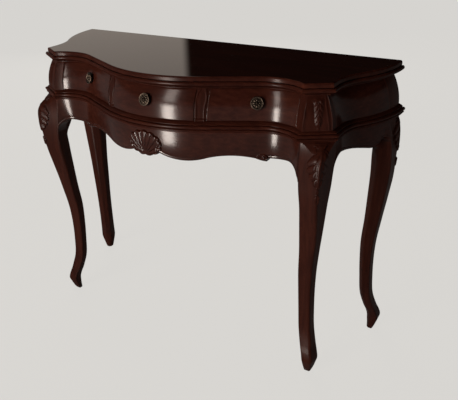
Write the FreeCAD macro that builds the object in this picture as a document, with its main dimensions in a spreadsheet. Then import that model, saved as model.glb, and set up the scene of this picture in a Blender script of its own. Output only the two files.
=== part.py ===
import FreeCAD, Part
import Sketcher
import math
import os
import re

# A pier table: serpentine moulded top, frieze with three bombe drawers, moulded waist,
# scalloped aprons and four cabriole legs. X runs along the front, +Y to the back, +Z up.
# Depths are measured forward from the back edge of the top, and reaches outward from its middle.

Vector = FreeCAD.Vector
os.makedirs("parts", exist_ok=True)
doc = FreeCAD.newDocument("PierTable")
sheet = doc.addObject("Spreadsheet::Sheet", "Sizes")

SIZES = {
    # plan of the top, measured at the tip of its moulding: each inset is taken from the half width,
    # and each set-back from the front of the bow
    "half_width": 522,
    "back_edge": 205,
    "bow_depth": 394,
    "flank_run": 133,
    "hollow_inset": 210,
    "hollow_set_back": 104,
    "hollow_radius": 115,
    "facet_inset": 75,
    "facet_set_back": 121,
    "facet_run": 60,
    "facet_fall": 36.5,
    "side_set_back": 154,
    # heights
    "table_height": 800,
    "top_thickness": 30,
    "frieze_height": 78,
    "waist_height": 26,
    # moulded edge of the top
    "top_bead_radius": 5.5,
    "top_edge_round": 5,
    "top_quirk": 1.5,
    "top_under_set": 16,
    # frieze
    "frieze_set": 1,
    "bombe_depth": 21,
    "post_proud": 6,
    "frieze_wall": 44,
    "frieze_back": 15,
    "back_panel_thickness": 12,
    "post_inset": 155,
    "post_set_back": 138,
    "back_post_inset": 67,
    "back_post_depth": 70,
    "centre_bay_half": 125,
    "stile_width": 27,
    "partition_thickness": 26,
    # waist moulding
    "waist_tip": 15,
    "waist_bead_radius": 4.5,
    "waist_fillet_set": 8,
    "waist_back": 10,
    "waist_back_width": 30,
    "dust_board_thickness": 12,
    # rails, guides, stops and blocks inside
    "rail_thickness": 12,
    "rail_width": 42,
    "front_rail_set_back": 152,
    "guide_width": 20,
    "guide_height": 14,
    "stop_width": 30,
    "stop_height": 20,
    "block_length": 33,
    "block_width": 24,
    "block_height": 36,
    "back_block_width": 20,
    # screws that hold the top
    "screw_radius": 2,
    "screw_head_radius": 4,
    "screw_head_height": 3,
    "screw_bite": 15,
    "screw_inset": 192,
    "hole_clearance": 0.2,
    # drawers
    "drawer_gap": 1,
    "drawer_head_gap": 2,
    "running_clearance": 0.3,
    "drawer_side_set": 0.5,
    "drawer_side_thickness": 10,
    "drawer_side_height": 60,
    "drawer_back_depth": 61,
    "drawer_bottom_rise": 6,
    "drawer_bottom_thickness": 5,
    "groove_depth": 4,
    "groove_clearance": 0.1,
    # knobs and their screws
    "knob_rise": 44,
    "knob_flange_radius": 9,
    "knob_flange_height": 2,
    "knob_neck_radius": 5.5,
    "knob_neck_height": 4.5,
    "knob_head_radius": 16,
    "knob_shoulder_height": 7.5,
    "knob_rim_height": 9.3,
    "knob_height": 13,
    "knob_bevel": 1.5,
    "knob_seat": 1.6,
    "knob_screw_radius": 2,
    "knob_screw_head_radius": 4.2,
    "knob_screw_head_height": 2.6,
    "knob_screw_grip": 30,
    "knob_screw_bite": 8,
    # aprons
    "apron_wall": 14,
    "apron_set": 6,
    "apron_swell": 2.5,
    "apron_height": 100,
    "apron_edge_rise": 60,
    "apron_lobe_drop": 14,
    "side_edge_rise": 40,
    "side_lobe_drop": 17,
    "ear_radius": 36,
    "back_ear_radius": 20,
    "back_apron_depth": 30,
    "back_apron_thickness": 20,
    "back_apron_height": 56,
    # carved shell on the front apron
    "shell_half_width": 47,
    "shell_height": 70,
    "shell_relief": 9,
    "shell_lobe": 4,
    # legs
    "front_leg_inset": 138,
    "front_leg_set_back": 124,
    "back_leg_inset": 42,
    "back_leg_depth": 76,
    "back_leg_back": 24,
    "front_foot_out": 39,
    "front_foot_forward": 37,
    "back_foot_out": 31,
    "back_foot_backward": 33,
    "knee_drop": 76,
    "knee_swing": 37,
    "knee_side": 59,
    "arris_round": 8,
    "block_arris_round": 1,
    "facet_bulge": 2,
    # one overrun for every cut
    "overrun": 40,
}

for row, (alias, value) in enumerate(SIZES.items(), start=1):
    sheet.set(f"A{row}", alias)
    sheet.set(f"B{row}", str(value))
    sheet.setAlias(f"B{row}", alias)
doc.recompute()


# Places that follow from the sizes
PLACES = {
    "top_under": "table_height - top_thickness",
    "frieze_base": "top_under - frieze_height",
    "waist_base": "frieze_base - waist_height",
    "knee_height": "waist_base - knee_drop",
    "hollow_reach": "half_width - hollow_inset",
    "hollow_depth": "bow_depth - hollow_set_back",
    "facet_reach": "half_width - facet_inset",
    "facet_depth": "bow_depth - facet_set_back",
    "side_start": "bow_depth - side_set_back",
    "post_inner_reach": "half_width - post_inset",
    "post_inner_depth": "bow_depth - post_set_back",
    "back_post_reach": "half_width - back_post_inset",
    "front_rail_depth": "bow_depth - front_rail_set_back",
    "screw_reach": "half_width - screw_inset",
    "panel_face": "frieze_back + back_panel_thickness",
    "front_leg_reach": "half_width - front_leg_inset",
    "front_leg_depth": "bow_depth - front_leg_set_back",
    "back_leg_reach": "half_width - back_leg_inset",
}


def size(alias):
    """A size of the sheet, or a place that follows from the sizes."""
    if alias in PLACES:
        return value_of(PLACES[alias])
    return float(sheet.get(alias))


def value_of(text):
    """The number that a sum of sizes and places stands for."""
    total = 0.0
    for sign, term in re.findall(r"([+-]?)\s*([a-z_]+|0)", text):
        amount = 0.0 if term == "0" else size(term)
        total += -amount if sign == "-" else amount
    return total


def bound(text):
    """An expression in which every size and place is read from the sheet."""
    def cell(word):
        alias = word.group(0)
        return f"({bound(PLACES[alias])})" if alias in PLACES else f"Sizes.{alias}"

    return re.sub(r"[a-z][a-z_]+", cell, text)


TOP_UNDER = size("top_under")
FRIEZE_BASE = size("frieze_base")
WAIST_BASE = size("waist_base")
MIRROR = {"left": -1, "right": 1}
subparts = []


def named(kind, label):
    thing = doc.addObject(kind, label)
    thing.Label = label
    return thing


def keep(thing):
    subparts.append(thing)
    return thing


def board(label, x_span, depth_span, z_span):
    """A straight board between expressions for its two ends along X, depth and Z."""
    box = named("Part::Box", label)
    box.setExpression("Length", bound(f"({x_span[1]}) - ({x_span[0]})"))
    box.setExpression("Width", bound(f"({depth_span[1]}) - ({depth_span[0]})"))
    box.setExpression("Height", bound(f"({z_span[1]}) - ({z_span[0]})"))
    box.setExpression("Placement.Base.x", bound(x_span[0]))
    box.setExpression("Placement.Base.y", bound(f"back_edge - ({depth_span[1]})"))
    box.setExpression("Placement.Base.z", bound(z_span[0]))
    return box


def boolean(kind, label, base, tool):
    result = named(kind, label)
    result.Base = base
    result.Tool = tool
    return result


def fixed(label, shape):
    """A sub-part whose shape is lofted or cut outside the feature tree."""
    thing = named("Part::Feature", label)
    thing.Shape = shape
    thing.Placement = FreeCAD.Placement()
    return thing


def at(x, depth, z):
    return Vector(x, size("back_edge") - depth, z)


def slab(x_span, depth_span, z_span):
    corner = at(x_span[0], depth_span[1], z_span[0])
    spans = [end - start for start, end in (x_span, depth_span, z_span)]
    return Part.makeBox(*spans, corner)


# Plan outline: bow, straight flank, hollow, canted facet, hollow and swelled side.

def bow_radius():
    """Radius of the bow whose flank runs straight for its length between the bow and the hollow."""
    drop = size("hollow_set_back")
    both = (size("hollow_reach")**2 + drop**2 - size("flank_run")**2) / (2 * drop)
    return both - size("hollow_radius")


def flank_turn():
    """Angle through which the bow turns before its straight flank."""
    both = BOW_RADIUS + size("hollow_radius")
    forward = HOLLOW_CENTRE[1] - BOW_CENTRE[1]
    return math.atan2(both, size("flank_run")) - math.atan2(forward, HOLLOW_CENTRE[0])


# Part of the two side radii that belongs to the swell at the back.
SIDE_SWELL_SHARE = 0.688
BOW_RADIUS = bow_radius()
BOW_CENTRE = (0.0, size("bow_depth") - BOW_RADIUS)
HOLLOW_CENTRE = (size("hollow_reach"), size("hollow_depth") + size("hollow_radius"))
FLANK_TURN = flank_turn()
FACET_TURN = math.atan2(size("facet_fall"), size("facet_run"))
FACET_NORMAL = (math.sin(FACET_TURN), math.cos(FACET_TURN))
FACET_INWARD = (-math.cos(FACET_TURN), math.sin(FACET_TURN))
SIDE_TURN = 2 * math.atan2(size("facet_inset"), size("side_start"))
SIDE_RADII = size("side_start") / math.sin(SIDE_TURN)
SIDE_BACK_RADIUS = SIDE_RADII * SIDE_SWELL_SHARE
SIDE_FRONT_RADIUS = SIDE_RADII - SIDE_BACK_RADIUS
SIDE_FRONT_CENTRE = (size("facet_reach") + SIDE_FRONT_RADIUS, size("side_start"))
SIDE_BACK_CENTRE = (size("half_width") - SIDE_BACK_RADIUS, 0.0)


def turned(centre, radius, angle):
    """Point at an angle from straight forward, clockwise seen from above."""
    return (centre[0] + radius * math.sin(angle), centre[1] + radius * math.cos(angle))


def facet_ends(offset, proud):
    """Inner and outer end of the canted facet of the outline moved out by offset."""
    shift = offset + proud
    start = (size("facet_reach") + FACET_NORMAL[0] * shift,
             size("facet_depth") + FACET_NORMAL[1] * shift)
    gap = (start[0] - HOLLOW_CENTRE[0], start[1] - HOLLOW_CENTRE[1])
    along = gap[0] * FACET_INWARD[0] + gap[1] * FACET_INWARD[1]
    radius = size("hollow_radius") - offset
    inner = -along - math.sqrt(along**2 - gap[0]**2 - gap[1]**2 + radius**2)
    outer = (FACET_NORMAL[0] * shift - offset) / math.cos(FACET_TURN)
    return [(start[0] + FACET_INWARD[0] * run, start[1] + FACET_INWARD[1] * run)
            for run in (inner, outer)]


def half_outline(offset, proud):
    """Right half from the bow's end to the back corner: pairs of an end point and a point on the way."""
    bow = BOW_RADIUS + offset
    hollow = size("hollow_radius") - offset
    inner, outer = facet_ends(offset, proud)
    inner_turn = math.atan2(HOLLOW_CENTRE[0] - inner[0], HOLLOW_CENTRE[1] - inner[1])
    front = SIDE_FRONT_RADIUS - offset
    back = SIDE_BACK_RADIUS + offset
    quarter = math.pi / 2
    return [
        (turned(BOW_CENTRE, bow, FLANK_TURN), None),
        (turned(HOLLOW_CENTRE, -hollow, FLANK_TURN), None),
        (inner, turned(HOLLOW_CENTRE, -hollow, (FLANK_TURN + inner_turn) / 2)),
        (outer, None),
        ((size("facet_reach") + offset, size("side_start")), None),
        (turned(SIDE_FRONT_CENTRE, -front, quarter - SIDE_TURN),
         turned(SIDE_FRONT_CENTRE, -front, quarter - SIDE_TURN / 2)),
        (turned(SIDE_BACK_CENTRE, back, quarter),
         turned(SIDE_BACK_CENTRE, back, quarter - SIDE_TURN / 2)),
    ]


def edge(start, end, way):
    if way is None:
        return Part.LineSegment(start, end).toShape()
    return Part.Arc(start, way, end).toShape()


def outline(offset, z, proud=0.0):
    """Closed outline of the table's plan, moved out by offset, at height z."""
    half = half_outline(offset, proud)
    points = {side: [at(sign * x, depth, z) for (x, depth), way in half]
              for side, sign in MIRROR.items()}
    ways = {side: [way and at(sign * way[0], way[1], z) for point, way in half]
            for side, sign in MIRROR.items()}
    front = at(0, size("bow_depth") + offset, z)
    edges = [Part.Arc(points["left"][0], front, points["right"][0]).toShape()]
    for step in range(1, len(half)):
        edges.append(edge(points["right"][step - 1], points["right"][step], ways["right"][step]))
    edges.append(edge(points["right"][-1], points["left"][-1], None))
    for step in range(len(half) - 1, 0, -1):
        edges.append(edge(points["left"][step], points["left"][step - 1], ways["left"][step]))
    return Part.Wire(edges)


def moulded(levels, proud=0.0):
    """Solid through the outline at each (height, offset), straight between them."""
    return Part.makeLoft([outline(offset, z, proud) for z, offset in levels], True, True)


def prism(offset, bottom, top, proud=0.0):
    return Part.Face(outline(offset, bottom, proud)).extrude(Vector(0, 0, top - bottom))


BEAD_STEPS = 6


def bead(radius, tip, middle):
    """Levels of a half-round bead, from below upward."""
    angles = [math.pi * (step / BEAD_STEPS - 1 / 2) for step in range(BEAD_STEPS + 1)]
    return [(middle + radius * math.sin(angle), tip - radius + radius * math.cos(angle))
            for angle in angles]


# Top board

BEAD_HEIGHT_SHARE = 0.42
COVE_HEIGHT_SHARE = 0.55
COVE_SET_SHARE = 0.75
ROUND_STEPS = 3


def top_levels():
    radius = size("top_bead_radius")
    bead_middle = TOP_UNDER + size("top_thickness") * BEAD_HEIGHT_SHARE
    set_in = radius + size("top_quirk")
    round_start = size("table_height") - size("top_edge_round")
    levels = [(TOP_UNDER, -size("top_under_set"))]
    levels.append((TOP_UNDER + (bead_middle - radius - TOP_UNDER) * COVE_HEIGHT_SHARE,
                   -size("top_under_set") * COVE_SET_SHARE))
    levels += bead(radius, 0, bead_middle)
    levels.append((bead_middle + radius + size("top_quirk") / 2, -set_in))
    for step in range(ROUND_STEPS + 1):
        angle = math.pi / 2 * step / ROUND_STEPS
        reach = size("top_edge_round") * (math.cos(angle) - 1)
        levels.append((round_start + size("top_edge_round") * math.sin(angle), reach - set_in))
    return levels


def screw_places():
    depths = (size("front_rail_depth") - size("rail_width") / 2,
              size("panel_face") + size("rail_width") / 2)
    return [(x, depth) for x in (-size("screw_reach"), 0, size("screw_reach")) for depth in depths]


def screw_set(clearance):
    """All the top's screws, or with a clearance the holes that they pass."""
    base = TOP_UNDER - size("rail_thickness")
    solids = []
    for x, depth in screw_places():
        head_height = size("screw_head_height") + clearance
        length = size("rail_thickness") + size("screw_bite") + clearance
        head = Part.makeCylinder(size("screw_head_radius") + clearance, head_height, at(x, depth, base))
        shank = Part.makeCylinder(size("screw_radius") + clearance, length, at(x, depth, base))
        solids.append(head.fuse(shank).removeSplitter())
    return solids


screw_holes = Part.makeCompound(screw_set(size("hole_clearance")))
keep(fixed("top_board", moulded(top_levels()).cut(screw_holes)))
keep(fixed("top_screws", Part.makeCompound(screw_set(0))))

# Frieze: one bombe ring that the posts, panels, stiles and drawer fronts are cut from.

BOMBE_STEPS = 8


def bombe(rise):
    """Offset of the frieze's face at a height above its base: an arc that is upright at the base."""
    height, fall = size("frieze_height"), size("bombe_depth")
    radius = (height**2 + fall**2) / (2 * fall)
    return -size("frieze_set") - radius + math.sqrt(radius**2 - rise**2)


rises = [size("frieze_height") * step / BOMBE_STEPS for step in range(BOMBE_STEPS + 1)]
frieze = moulded([(FRIEZE_BASE + rise, bombe(rise)) for rise in rises], size("post_proud"))
FRONT = size("bow_depth") + size("overrun")
OUTSIDE = size("half_width") + size("overrun")
FRIEZE_SPAN = (FRIEZE_BASE, TOP_UNDER)
inside = fixed("inside_of_frieze",
               prism(-size("frieze_wall"), WAIST_BASE, TOP_UNDER, size("post_proud")))


def mirrored(shape, sign):
    return shape if sign > 0 else shape.mirror(Vector(0, 0, 0), Vector(1, 0, 0))


back_post = frieze.common(slab((size("back_post_reach"), OUTSIDE),
                               (size("frieze_back"), size("back_post_depth")), FRIEZE_SPAN))
front_post = frieze.common(slab((size("post_inner_reach"), OUTSIDE),
                                (size("post_inner_depth"), FRONT), FRIEZE_SPAN))
panel_start = (size("post_inner_reach") + size("facet_reach") - size("frieze_wall")) / 2
side_panel = frieze.common(slab((panel_start, OUTSIDE),
                                (size("back_post_depth"), size("post_inner_depth")), FRIEZE_SPAN))
side_panel = side_panel.cut(inside.Shape)
stile = frieze.common(slab((size("centre_bay_half"), size("centre_bay_half") + size("stile_width")),
                           (0, FRONT), FRIEZE_SPAN)).cut(inside.Shape)
FRIEZE_PIECES = {"post_back": back_post, "post_front": front_post, "side_panel": side_panel, "stile": stile}
for side, sign in MIRROR.items():
    for piece, shape in FRIEZE_PIECES.items():
        keep(fixed(f"{piece}_{side}", mirrored(shape, sign)))

FRIEZE_TEXT = ("frieze_base", "top_under")
keep(board("back_panel", ("-back_post_reach", "back_post_reach"), ("frieze_back", "panel_face"),
           FRIEZE_TEXT))

# Rails under the top, with the holes for its screws

RAIL_TEXT = ("top_under - rail_thickness", "top_under")
RAILS = {
    "front": ("half_width", ("front_rail_depth - rail_width", "front_rail_depth")),
    "back": ("back_post_reach", ("panel_face", "panel_face + rail_width")),
}
holes = fixed("screw_holes", screw_holes)
rails = []
for place, (reach, depths) in RAILS.items():
    blank = board(f"top_rail_{place}_blank", (f"-{reach}", reach), depths, RAIL_TEXT)
    fitted = boolean("Part::Common", f"top_rail_{place}_fitted", blank, inside)
    rails.append(blank)
    keep(boolean("Part::Cut", f"top_rail_{place}", fitted, holes))

# Partitions between the drawers, notched under the rails

for side, sign in MIRROR.items():
    middle = f"{sign} * (centre_bay_half + stile_width / 2)"
    blank = board(f"partition_{side}_blank",
                  (f"{middle} - partition_thickness / 2", f"{middle} + partition_thickness / 2"),
                  ("panel_face", "bow_depth"), FRIEZE_TEXT)
    fitted = boolean("Part::Common", f"partition_{side}_fitted", blank, inside)
    notched = boolean("Part::Cut", f"partition_{side}_notched", fitted, rails[0])
    keep(boolean("Part::Cut", f"partition_{side}", notched, rails[1]))

# Waist moulding and the dust board inside it

STEP_SHARES = ((0, 0), (0.115, 0), (0.15, 0.42), (0.25, 0.64), (0.33, 0.42))
WAIST_BEAD_SHARE = 0.54
WAIST_QUIRK_SHARE = 0.25


def waist_levels():
    height = size("waist_height")
    low, tip = size("waist_fillet_set"), size("waist_tip")
    radius = size("waist_bead_radius")
    levels = [(WAIST_BASE + rise * height, low + reach * (tip - low)) for rise, reach in STEP_SHARES]
    levels += bead(radius, tip, WAIST_BASE + WAIST_BEAD_SHARE * height)
    levels.append((levels[-1][0] + radius * WAIST_QUIRK_SHARE, low))
    levels.append((FRIEZE_BASE, size("frieze_set")))
    return levels


WAIST_SPAN = (WAIST_BASE, FRIEZE_BASE)
waist = moulded(waist_levels()).cut(inside.Shape)
keep(fixed("waist_front", waist.common(slab((-OUTSIDE, OUTSIDE), (size("side_start"), FRONT), WAIST_SPAN))))
waist_side = waist.common(slab((0, OUTSIDE), (size("waist_back"), size("side_start")), WAIST_SPAN))
for side, sign in MIRROR.items():
    keep(fixed(f"waist_{side}", mirrored(waist_side, sign)))
WAIST_BACK_TEXT = "waist_back + waist_back_width"
waist_blank = board("waist_back_blank", ("-half_width", "half_width"), ("waist_back", WAIST_BACK_TEXT),
                    ("waist_base", "frieze_base"))
keep(boolean("Part::Common", "waist_back", waist_blank, inside))
dust_blank = board("dust_board_blank", ("-half_width", "half_width"), (WAIST_BACK_TEXT, "bow_depth"),
                   ("frieze_base - dust_board_thickness", "frieze_base"))
keep(boolean("Part::Common", "dust_board", dust_blank, inside))

# Drawer bays, and the guides beside and stops behind the drawers

SIDE_BAY_TEXT = ("centre_bay_half + stile_width", "post_inner_reach")
BAYS = {
    "left": (f"-({SIDE_BAY_TEXT[1]})", f"-({SIDE_BAY_TEXT[0]})"),
    "centre": ("-centre_bay_half", "centre_bay_half"),
    "right": SIDE_BAY_TEXT,
}
side_bay = (size("centre_bay_half") + size("stile_width"), size("post_inner_reach"))
BAY_MIDDLES = {"left": -sum(side_bay) / 2, "centre": 0.0, "right": sum(side_bay) / 2}

for side, sign in MIRROR.items():
    ends = ["post_inner_reach - drawer_gap", "post_inner_reach - drawer_gap + guide_width"]
    span = ends if sign > 0 else [f"-({end})" for end in reversed(ends)]
    keep(board(f"drawer_guide_{side}", span, ("panel_face", "post_inner_depth"),
               ("frieze_base", "frieze_base + guide_height")))
for bay, (low, high) in BAYS.items():
    middle = f"(({low}) + ({high})) / 2"
    keep(board(f"drawer_stop_{bay}", (f"{middle} - stop_width / 2", f"{middle} + stop_width / 2"),
               ("panel_face", "drawer_back_depth - running_clearance"),
               ("frieze_base", "frieze_base + stop_height")))

# Knobs: each stands square to the drawer's face

def face_point(x, offset):
    """Depth of the front at x on the outline moved out by offset, and the way the face turns there."""
    reach = abs(x)
    bow = BOW_RADIUS + offset
    hollow = size("hollow_radius") - offset
    bow_end = turned(BOW_CENTRE, bow, FLANK_TURN)
    hollow_start = turned(HOLLOW_CENTRE, -hollow, FLANK_TURN)
    if reach < bow_end[0]:
        turn = math.asin(reach / bow)
        depth = BOW_CENTRE[1] + bow * math.cos(turn)
    elif reach < hollow_start[0]:
        turn = FLANK_TURN
        depth = bow_end[1] - (reach - bow_end[0]) * math.tan(turn)
    else:
        turn = math.asin((HOLLOW_CENTRE[0] - reach) / hollow)
        depth = HOLLOW_CENTRE[1] - hollow * math.cos(turn)
    return depth, math.copysign(turn, x)


def knob_placement(bay):
    """Frame on the drawer's face, sunk by the knob's seat, with its Z axis square to the face."""
    rise = size("knob_rise")
    depth, turn = face_point(BAY_MIDDLES[bay], bombe(rise))
    height, fall = size("frieze_height"), size("bombe_depth")
    tilt = math.asin(rise * 2 * fall / (height**2 + fall**2))
    normal = Vector(math.sin(turn) * math.cos(tilt), -math.cos(turn) * math.cos(tilt), math.sin(tilt))
    seat = at(BAY_MIDDLES[bay], depth, FRIEZE_BASE + rise) - normal * size("knob_seat")
    return FreeCAD.Placement(seat, FreeCAD.Rotation(Vector(0, 0, 1), normal))


def turned_body(label, points):
    """A piece turned about its Z axis, from expressions for the radius and height of each corner."""
    body = named("PartDesign::Body", label)
    sketch = body.newObject("Sketcher::SketchObject", f"{label}_profile")
    planes = [plane for plane in body.Origin.OriginFeatures if plane.Role == "XZ_Plane"]
    sketch.AttachmentSupport = (planes[0], [""])
    sketch.MapMode = "FlatFace"
    values = [[value_of(text) for text in point] for point in points]
    for here, ahead in zip(values, values[1:] + values[:1]):
        sketch.addGeometry(Part.LineSegment(Vector(*here, 0), Vector(*ahead, 0)), False)
    for line in range(len(points)):
        sketch.addConstraint(Sketcher.Constraint("Coincident", line, 2, (line + 1) % len(points), 1))
    for line, point in enumerate(points):
        for axis, rule, text in ((-2, "DistanceX", point[0]), (-1, "DistanceY", point[1])):
            if text == "0":
                sketch.addConstraint(Sketcher.Constraint("PointOnObject", line, 1, axis))
                continue
            number = sketch.addConstraint(Sketcher.Constraint(rule, -1, 1, line, 1, value_of(text)))
            sketch.setExpression(f"Constraints[{number}]", bound(text))
    turning = body.newObject("PartDesign::Revolution", f"{label}_turning")
    turning.Profile = sketch
    turning.ReferenceAxis = (sketch, ["V_Axis"])
    turning.Angle = 360
    return body


KNOB_BORE_TEXT = "knob_screw_radius + groove_clearance"
KNOB_BORE_DEPTH_TEXT = "knob_screw_bite + groove_clearance"
KNOB_CORNERS = [
    (KNOB_BORE_TEXT, "0"),
    ("knob_flange_radius", "0"),
    ("knob_flange_radius", "knob_flange_height"),
    ("knob_neck_radius", "knob_flange_height + knob_bevel"),
    ("knob_neck_radius", "knob_neck_height"),
    ("knob_head_radius - knob_bevel", "knob_neck_height + knob_bevel"),
    ("knob_head_radius", "knob_shoulder_height"),
    ("knob_head_radius", "knob_rim_height"),
    ("knob_head_radius - knob_bevel", "knob_height - knob_bevel"),
    ("knob_neck_radius", "knob_height"),
    ("0", "knob_height"),
    ("0", KNOB_BORE_DEPTH_TEXT),
    (KNOB_BORE_TEXT, KNOB_BORE_DEPTH_TEXT),
]
SCREW_CORNERS = [
    ("0", "-knob_screw_grip - knob_screw_head_height"),
    ("knob_screw_head_radius", "-knob_screw_grip - knob_screw_head_height"),
    ("knob_screw_head_radius", "-knob_screw_grip"),
    ("knob_screw_radius", "-knob_screw_grip"),
    ("knob_screw_radius", "knob_screw_bite"),
    ("0", "knob_screw_bite"),
]


def knob_cuts(bay):
    """Seat, screw hole and counterbore in a drawer front."""
    clear = size("groove_clearance")
    reach = size("overrun")
    grip = size("knob_screw_grip")
    seat = Part.makeCylinder(size("knob_flange_radius") + clear, reach)
    hole = Part.makeCylinder(size("knob_screw_radius") + clear, grip + reach, Vector(0, 0, -grip))
    bore = Part.makeCylinder(size("knob_screw_head_radius") + clear, reach, Vector(0, 0, -grip - reach))
    cuts = seat.multiFuse([hole, bore])
    cuts.Placement = knob_placement(bay)
    return cuts


# Drawers

DRAWER_BASE_TEXT = "frieze_base + running_clearance"
BOTTOM_TEXT = f"{DRAWER_BASE_TEXT} + drawer_bottom_rise"
BOTTOM_TOP_TEXT = f"{BOTTOM_TEXT} + drawer_bottom_thickness"
SIDE_TOP_TEXT = f"{DRAWER_BASE_TEXT} + drawer_side_height"
bottom_rise = size("running_clearance") + size("drawer_bottom_rise") - size("groove_clearance")
bottom_height = size("drawer_bottom_thickness") + 2 * size("groove_clearance")
bottom_outline = fixed("drawer_bottom_outline",
                       prism(size("groove_depth") - size("frieze_wall"), FRIEZE_BASE, TOP_UNDER,
                             size("post_proud")))
groove_base = FRIEZE_BASE + bottom_rise
front_groove = prism(size("groove_depth") + size("groove_clearance") - size("frieze_wall"),
                     groove_base, groove_base + bottom_height, size("post_proud"))


def drawer_front(bay):
    ends = {"left": (-side_bay[1], -side_bay[0]), "right": side_bay,
            "centre": (-size("centre_bay_half"), size("centre_bay_half"))}[bay]
    gap = size("drawer_gap")
    face = frieze.common(slab((ends[0] + gap, ends[1] - gap), (0, FRONT),
                              (FRIEZE_BASE + gap, TOP_UNDER - size("drawer_head_gap"))))
    set_in = gap + size("drawer_side_set") + size("drawer_side_thickness") - size("groove_depth")
    slack = size("groove_clearance")
    groove = front_groove.common(slab((ends[0] + set_in - slack, ends[1] - set_in + slack), (0, FRONT),
                                      FRIEZE_SPAN))
    return face.cut(inside.Shape).cut(groove).cut(knob_cuts(bay))


def drawer_box(bay, low, high):
    """Sides, back and bottom between the expressions for the bay's two sides."""
    outer = (f"({low}) + drawer_gap + drawer_side_set", f"({high}) - drawer_gap - drawer_side_set")
    inner = (f"{outer[0]} + drawer_side_thickness", f"{outer[1]} - drawer_side_thickness")
    depths = ("drawer_back_depth", "bow_depth")
    groove = board(f"drawer_{bay}_groove",
                   (f"{inner[0]} - groove_depth - groove_clearance",
                    f"{inner[1]} + groove_depth + groove_clearance"),
                   ("drawer_back_depth - overrun", "bow_depth"),
                   (f"{BOTTOM_TEXT} - groove_clearance", f"{BOTTOM_TOP_TEXT} + groove_clearance"))
    for side, span in (("left", (outer[0], inner[0])), ("right", (inner[1], outer[1]))):
        blank = board(f"drawer_{bay}_side_{side}_blank", span, depths, (DRAWER_BASE_TEXT, SIDE_TOP_TEXT))
        fitted = boolean("Part::Common", f"drawer_{bay}_side_{side}_fitted", blank, inside)
        keep(boolean("Part::Cut", f"drawer_{bay}_side_{side}", fitted, groove))
    keep(board(f"drawer_{bay}_back", inner,
               ("drawer_back_depth", "drawer_back_depth + drawer_side_thickness"),
               (BOTTOM_TOP_TEXT, SIDE_TOP_TEXT)))
    blank = board(f"drawer_{bay}_bottom_blank",
                  (f"{inner[0]} - groove_depth", f"{inner[1]} + groove_depth"),
                  depths, (BOTTOM_TEXT, BOTTOM_TOP_TEXT))
    keep(boolean("Part::Common", f"drawer_{bay}_bottom", blank, bottom_outline))


for bay, (low, high) in BAYS.items():
    keep(fixed(f"drawer_{bay}_front", drawer_front(bay)))
    drawer_box(bay, low, high)
    for piece, corners in (("knob", KNOB_CORNERS), ("knob_screw", SCREW_CORNERS)):
        body = keep(turned_body(f"drawer_{bay}_{piece}", corners))
        body.Placement = knob_placement(bay)

# Cabriole legs: sections square to the table, swung along the diagonal, under a block for the aprons

# Height as a share of the knee's height, swing and side as shares of those of the knee.
LEG_SHARES = (
    (0, 0.22, 0.22),
    (0.030, 0.52, 0.40),
    (0.052, 0.70, 0.52),
    (0.076, 0.83, 0.60),
    (0.107, 0.68, 0.60),
    (0.142, 0.40, 0.59),
    (0.22, -0.03, 0.575),
    (0.32, -0.18, 0.58),
    (0.42, -0.22, 0.61),
    (0.52, -0.13, 0.665),
    (0.63, 0.15, 0.73),
    (0.745, 0.47, 0.84),
    (0.86, 0.77, 0.95),
    (0.94, 0.92, 1.03),
)
SHOULDER_SHARES = (0.25, 0.5, 0.75)
SHOULDER_POWER = 3
ARRIS_LIMIT_SHARE = 0.3
INNER_CHAMFER_SHARE = 0.36


def leg_section(z, low, high, bevel, bulge, ease, chamfer, place):
    """Section between an inner and an outer corner: its outer corner is bevelled in a curve of its own,
    the two corners beside it are rounded by ease, and its inner corner is chamfered."""
    run = math.hypot(*bevel)
    bevel_way = (high[0] - bevel[0] / 2 + bulge * bevel[1] / run,
                 high[1] - bevel[1] / 2 + bulge * bevel[0] / run)
    tuck = ease * (1 - math.sqrt(1 / 2))
    corners = [
        ((low[0], low[1] + chamfer), None),
        ((low[0], high[1] - ease), None),
        ((low[0] + ease, high[1]), (low[0] + tuck, high[1] - tuck)),
        ((high[0] - bevel[0], high[1]), None),
        ((high[0], high[1] - bevel[1]), bevel_way),
        ((high[0], low[1] + ease), None),
        ((high[0] - ease, low[1]), (high[0] - tuck, low[1] + tuck)),
        ((low[0] + chamfer, low[1]), None),
        ((low[0], low[1] + chamfer), None),
    ]
    edges = []
    for (start, unused), (end, way) in zip(corners, corners[1:]):
        edges.append(edge(place(*start, z), place(*end, z), way and place(*way, z)))
    return Part.Wire(edges)


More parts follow.
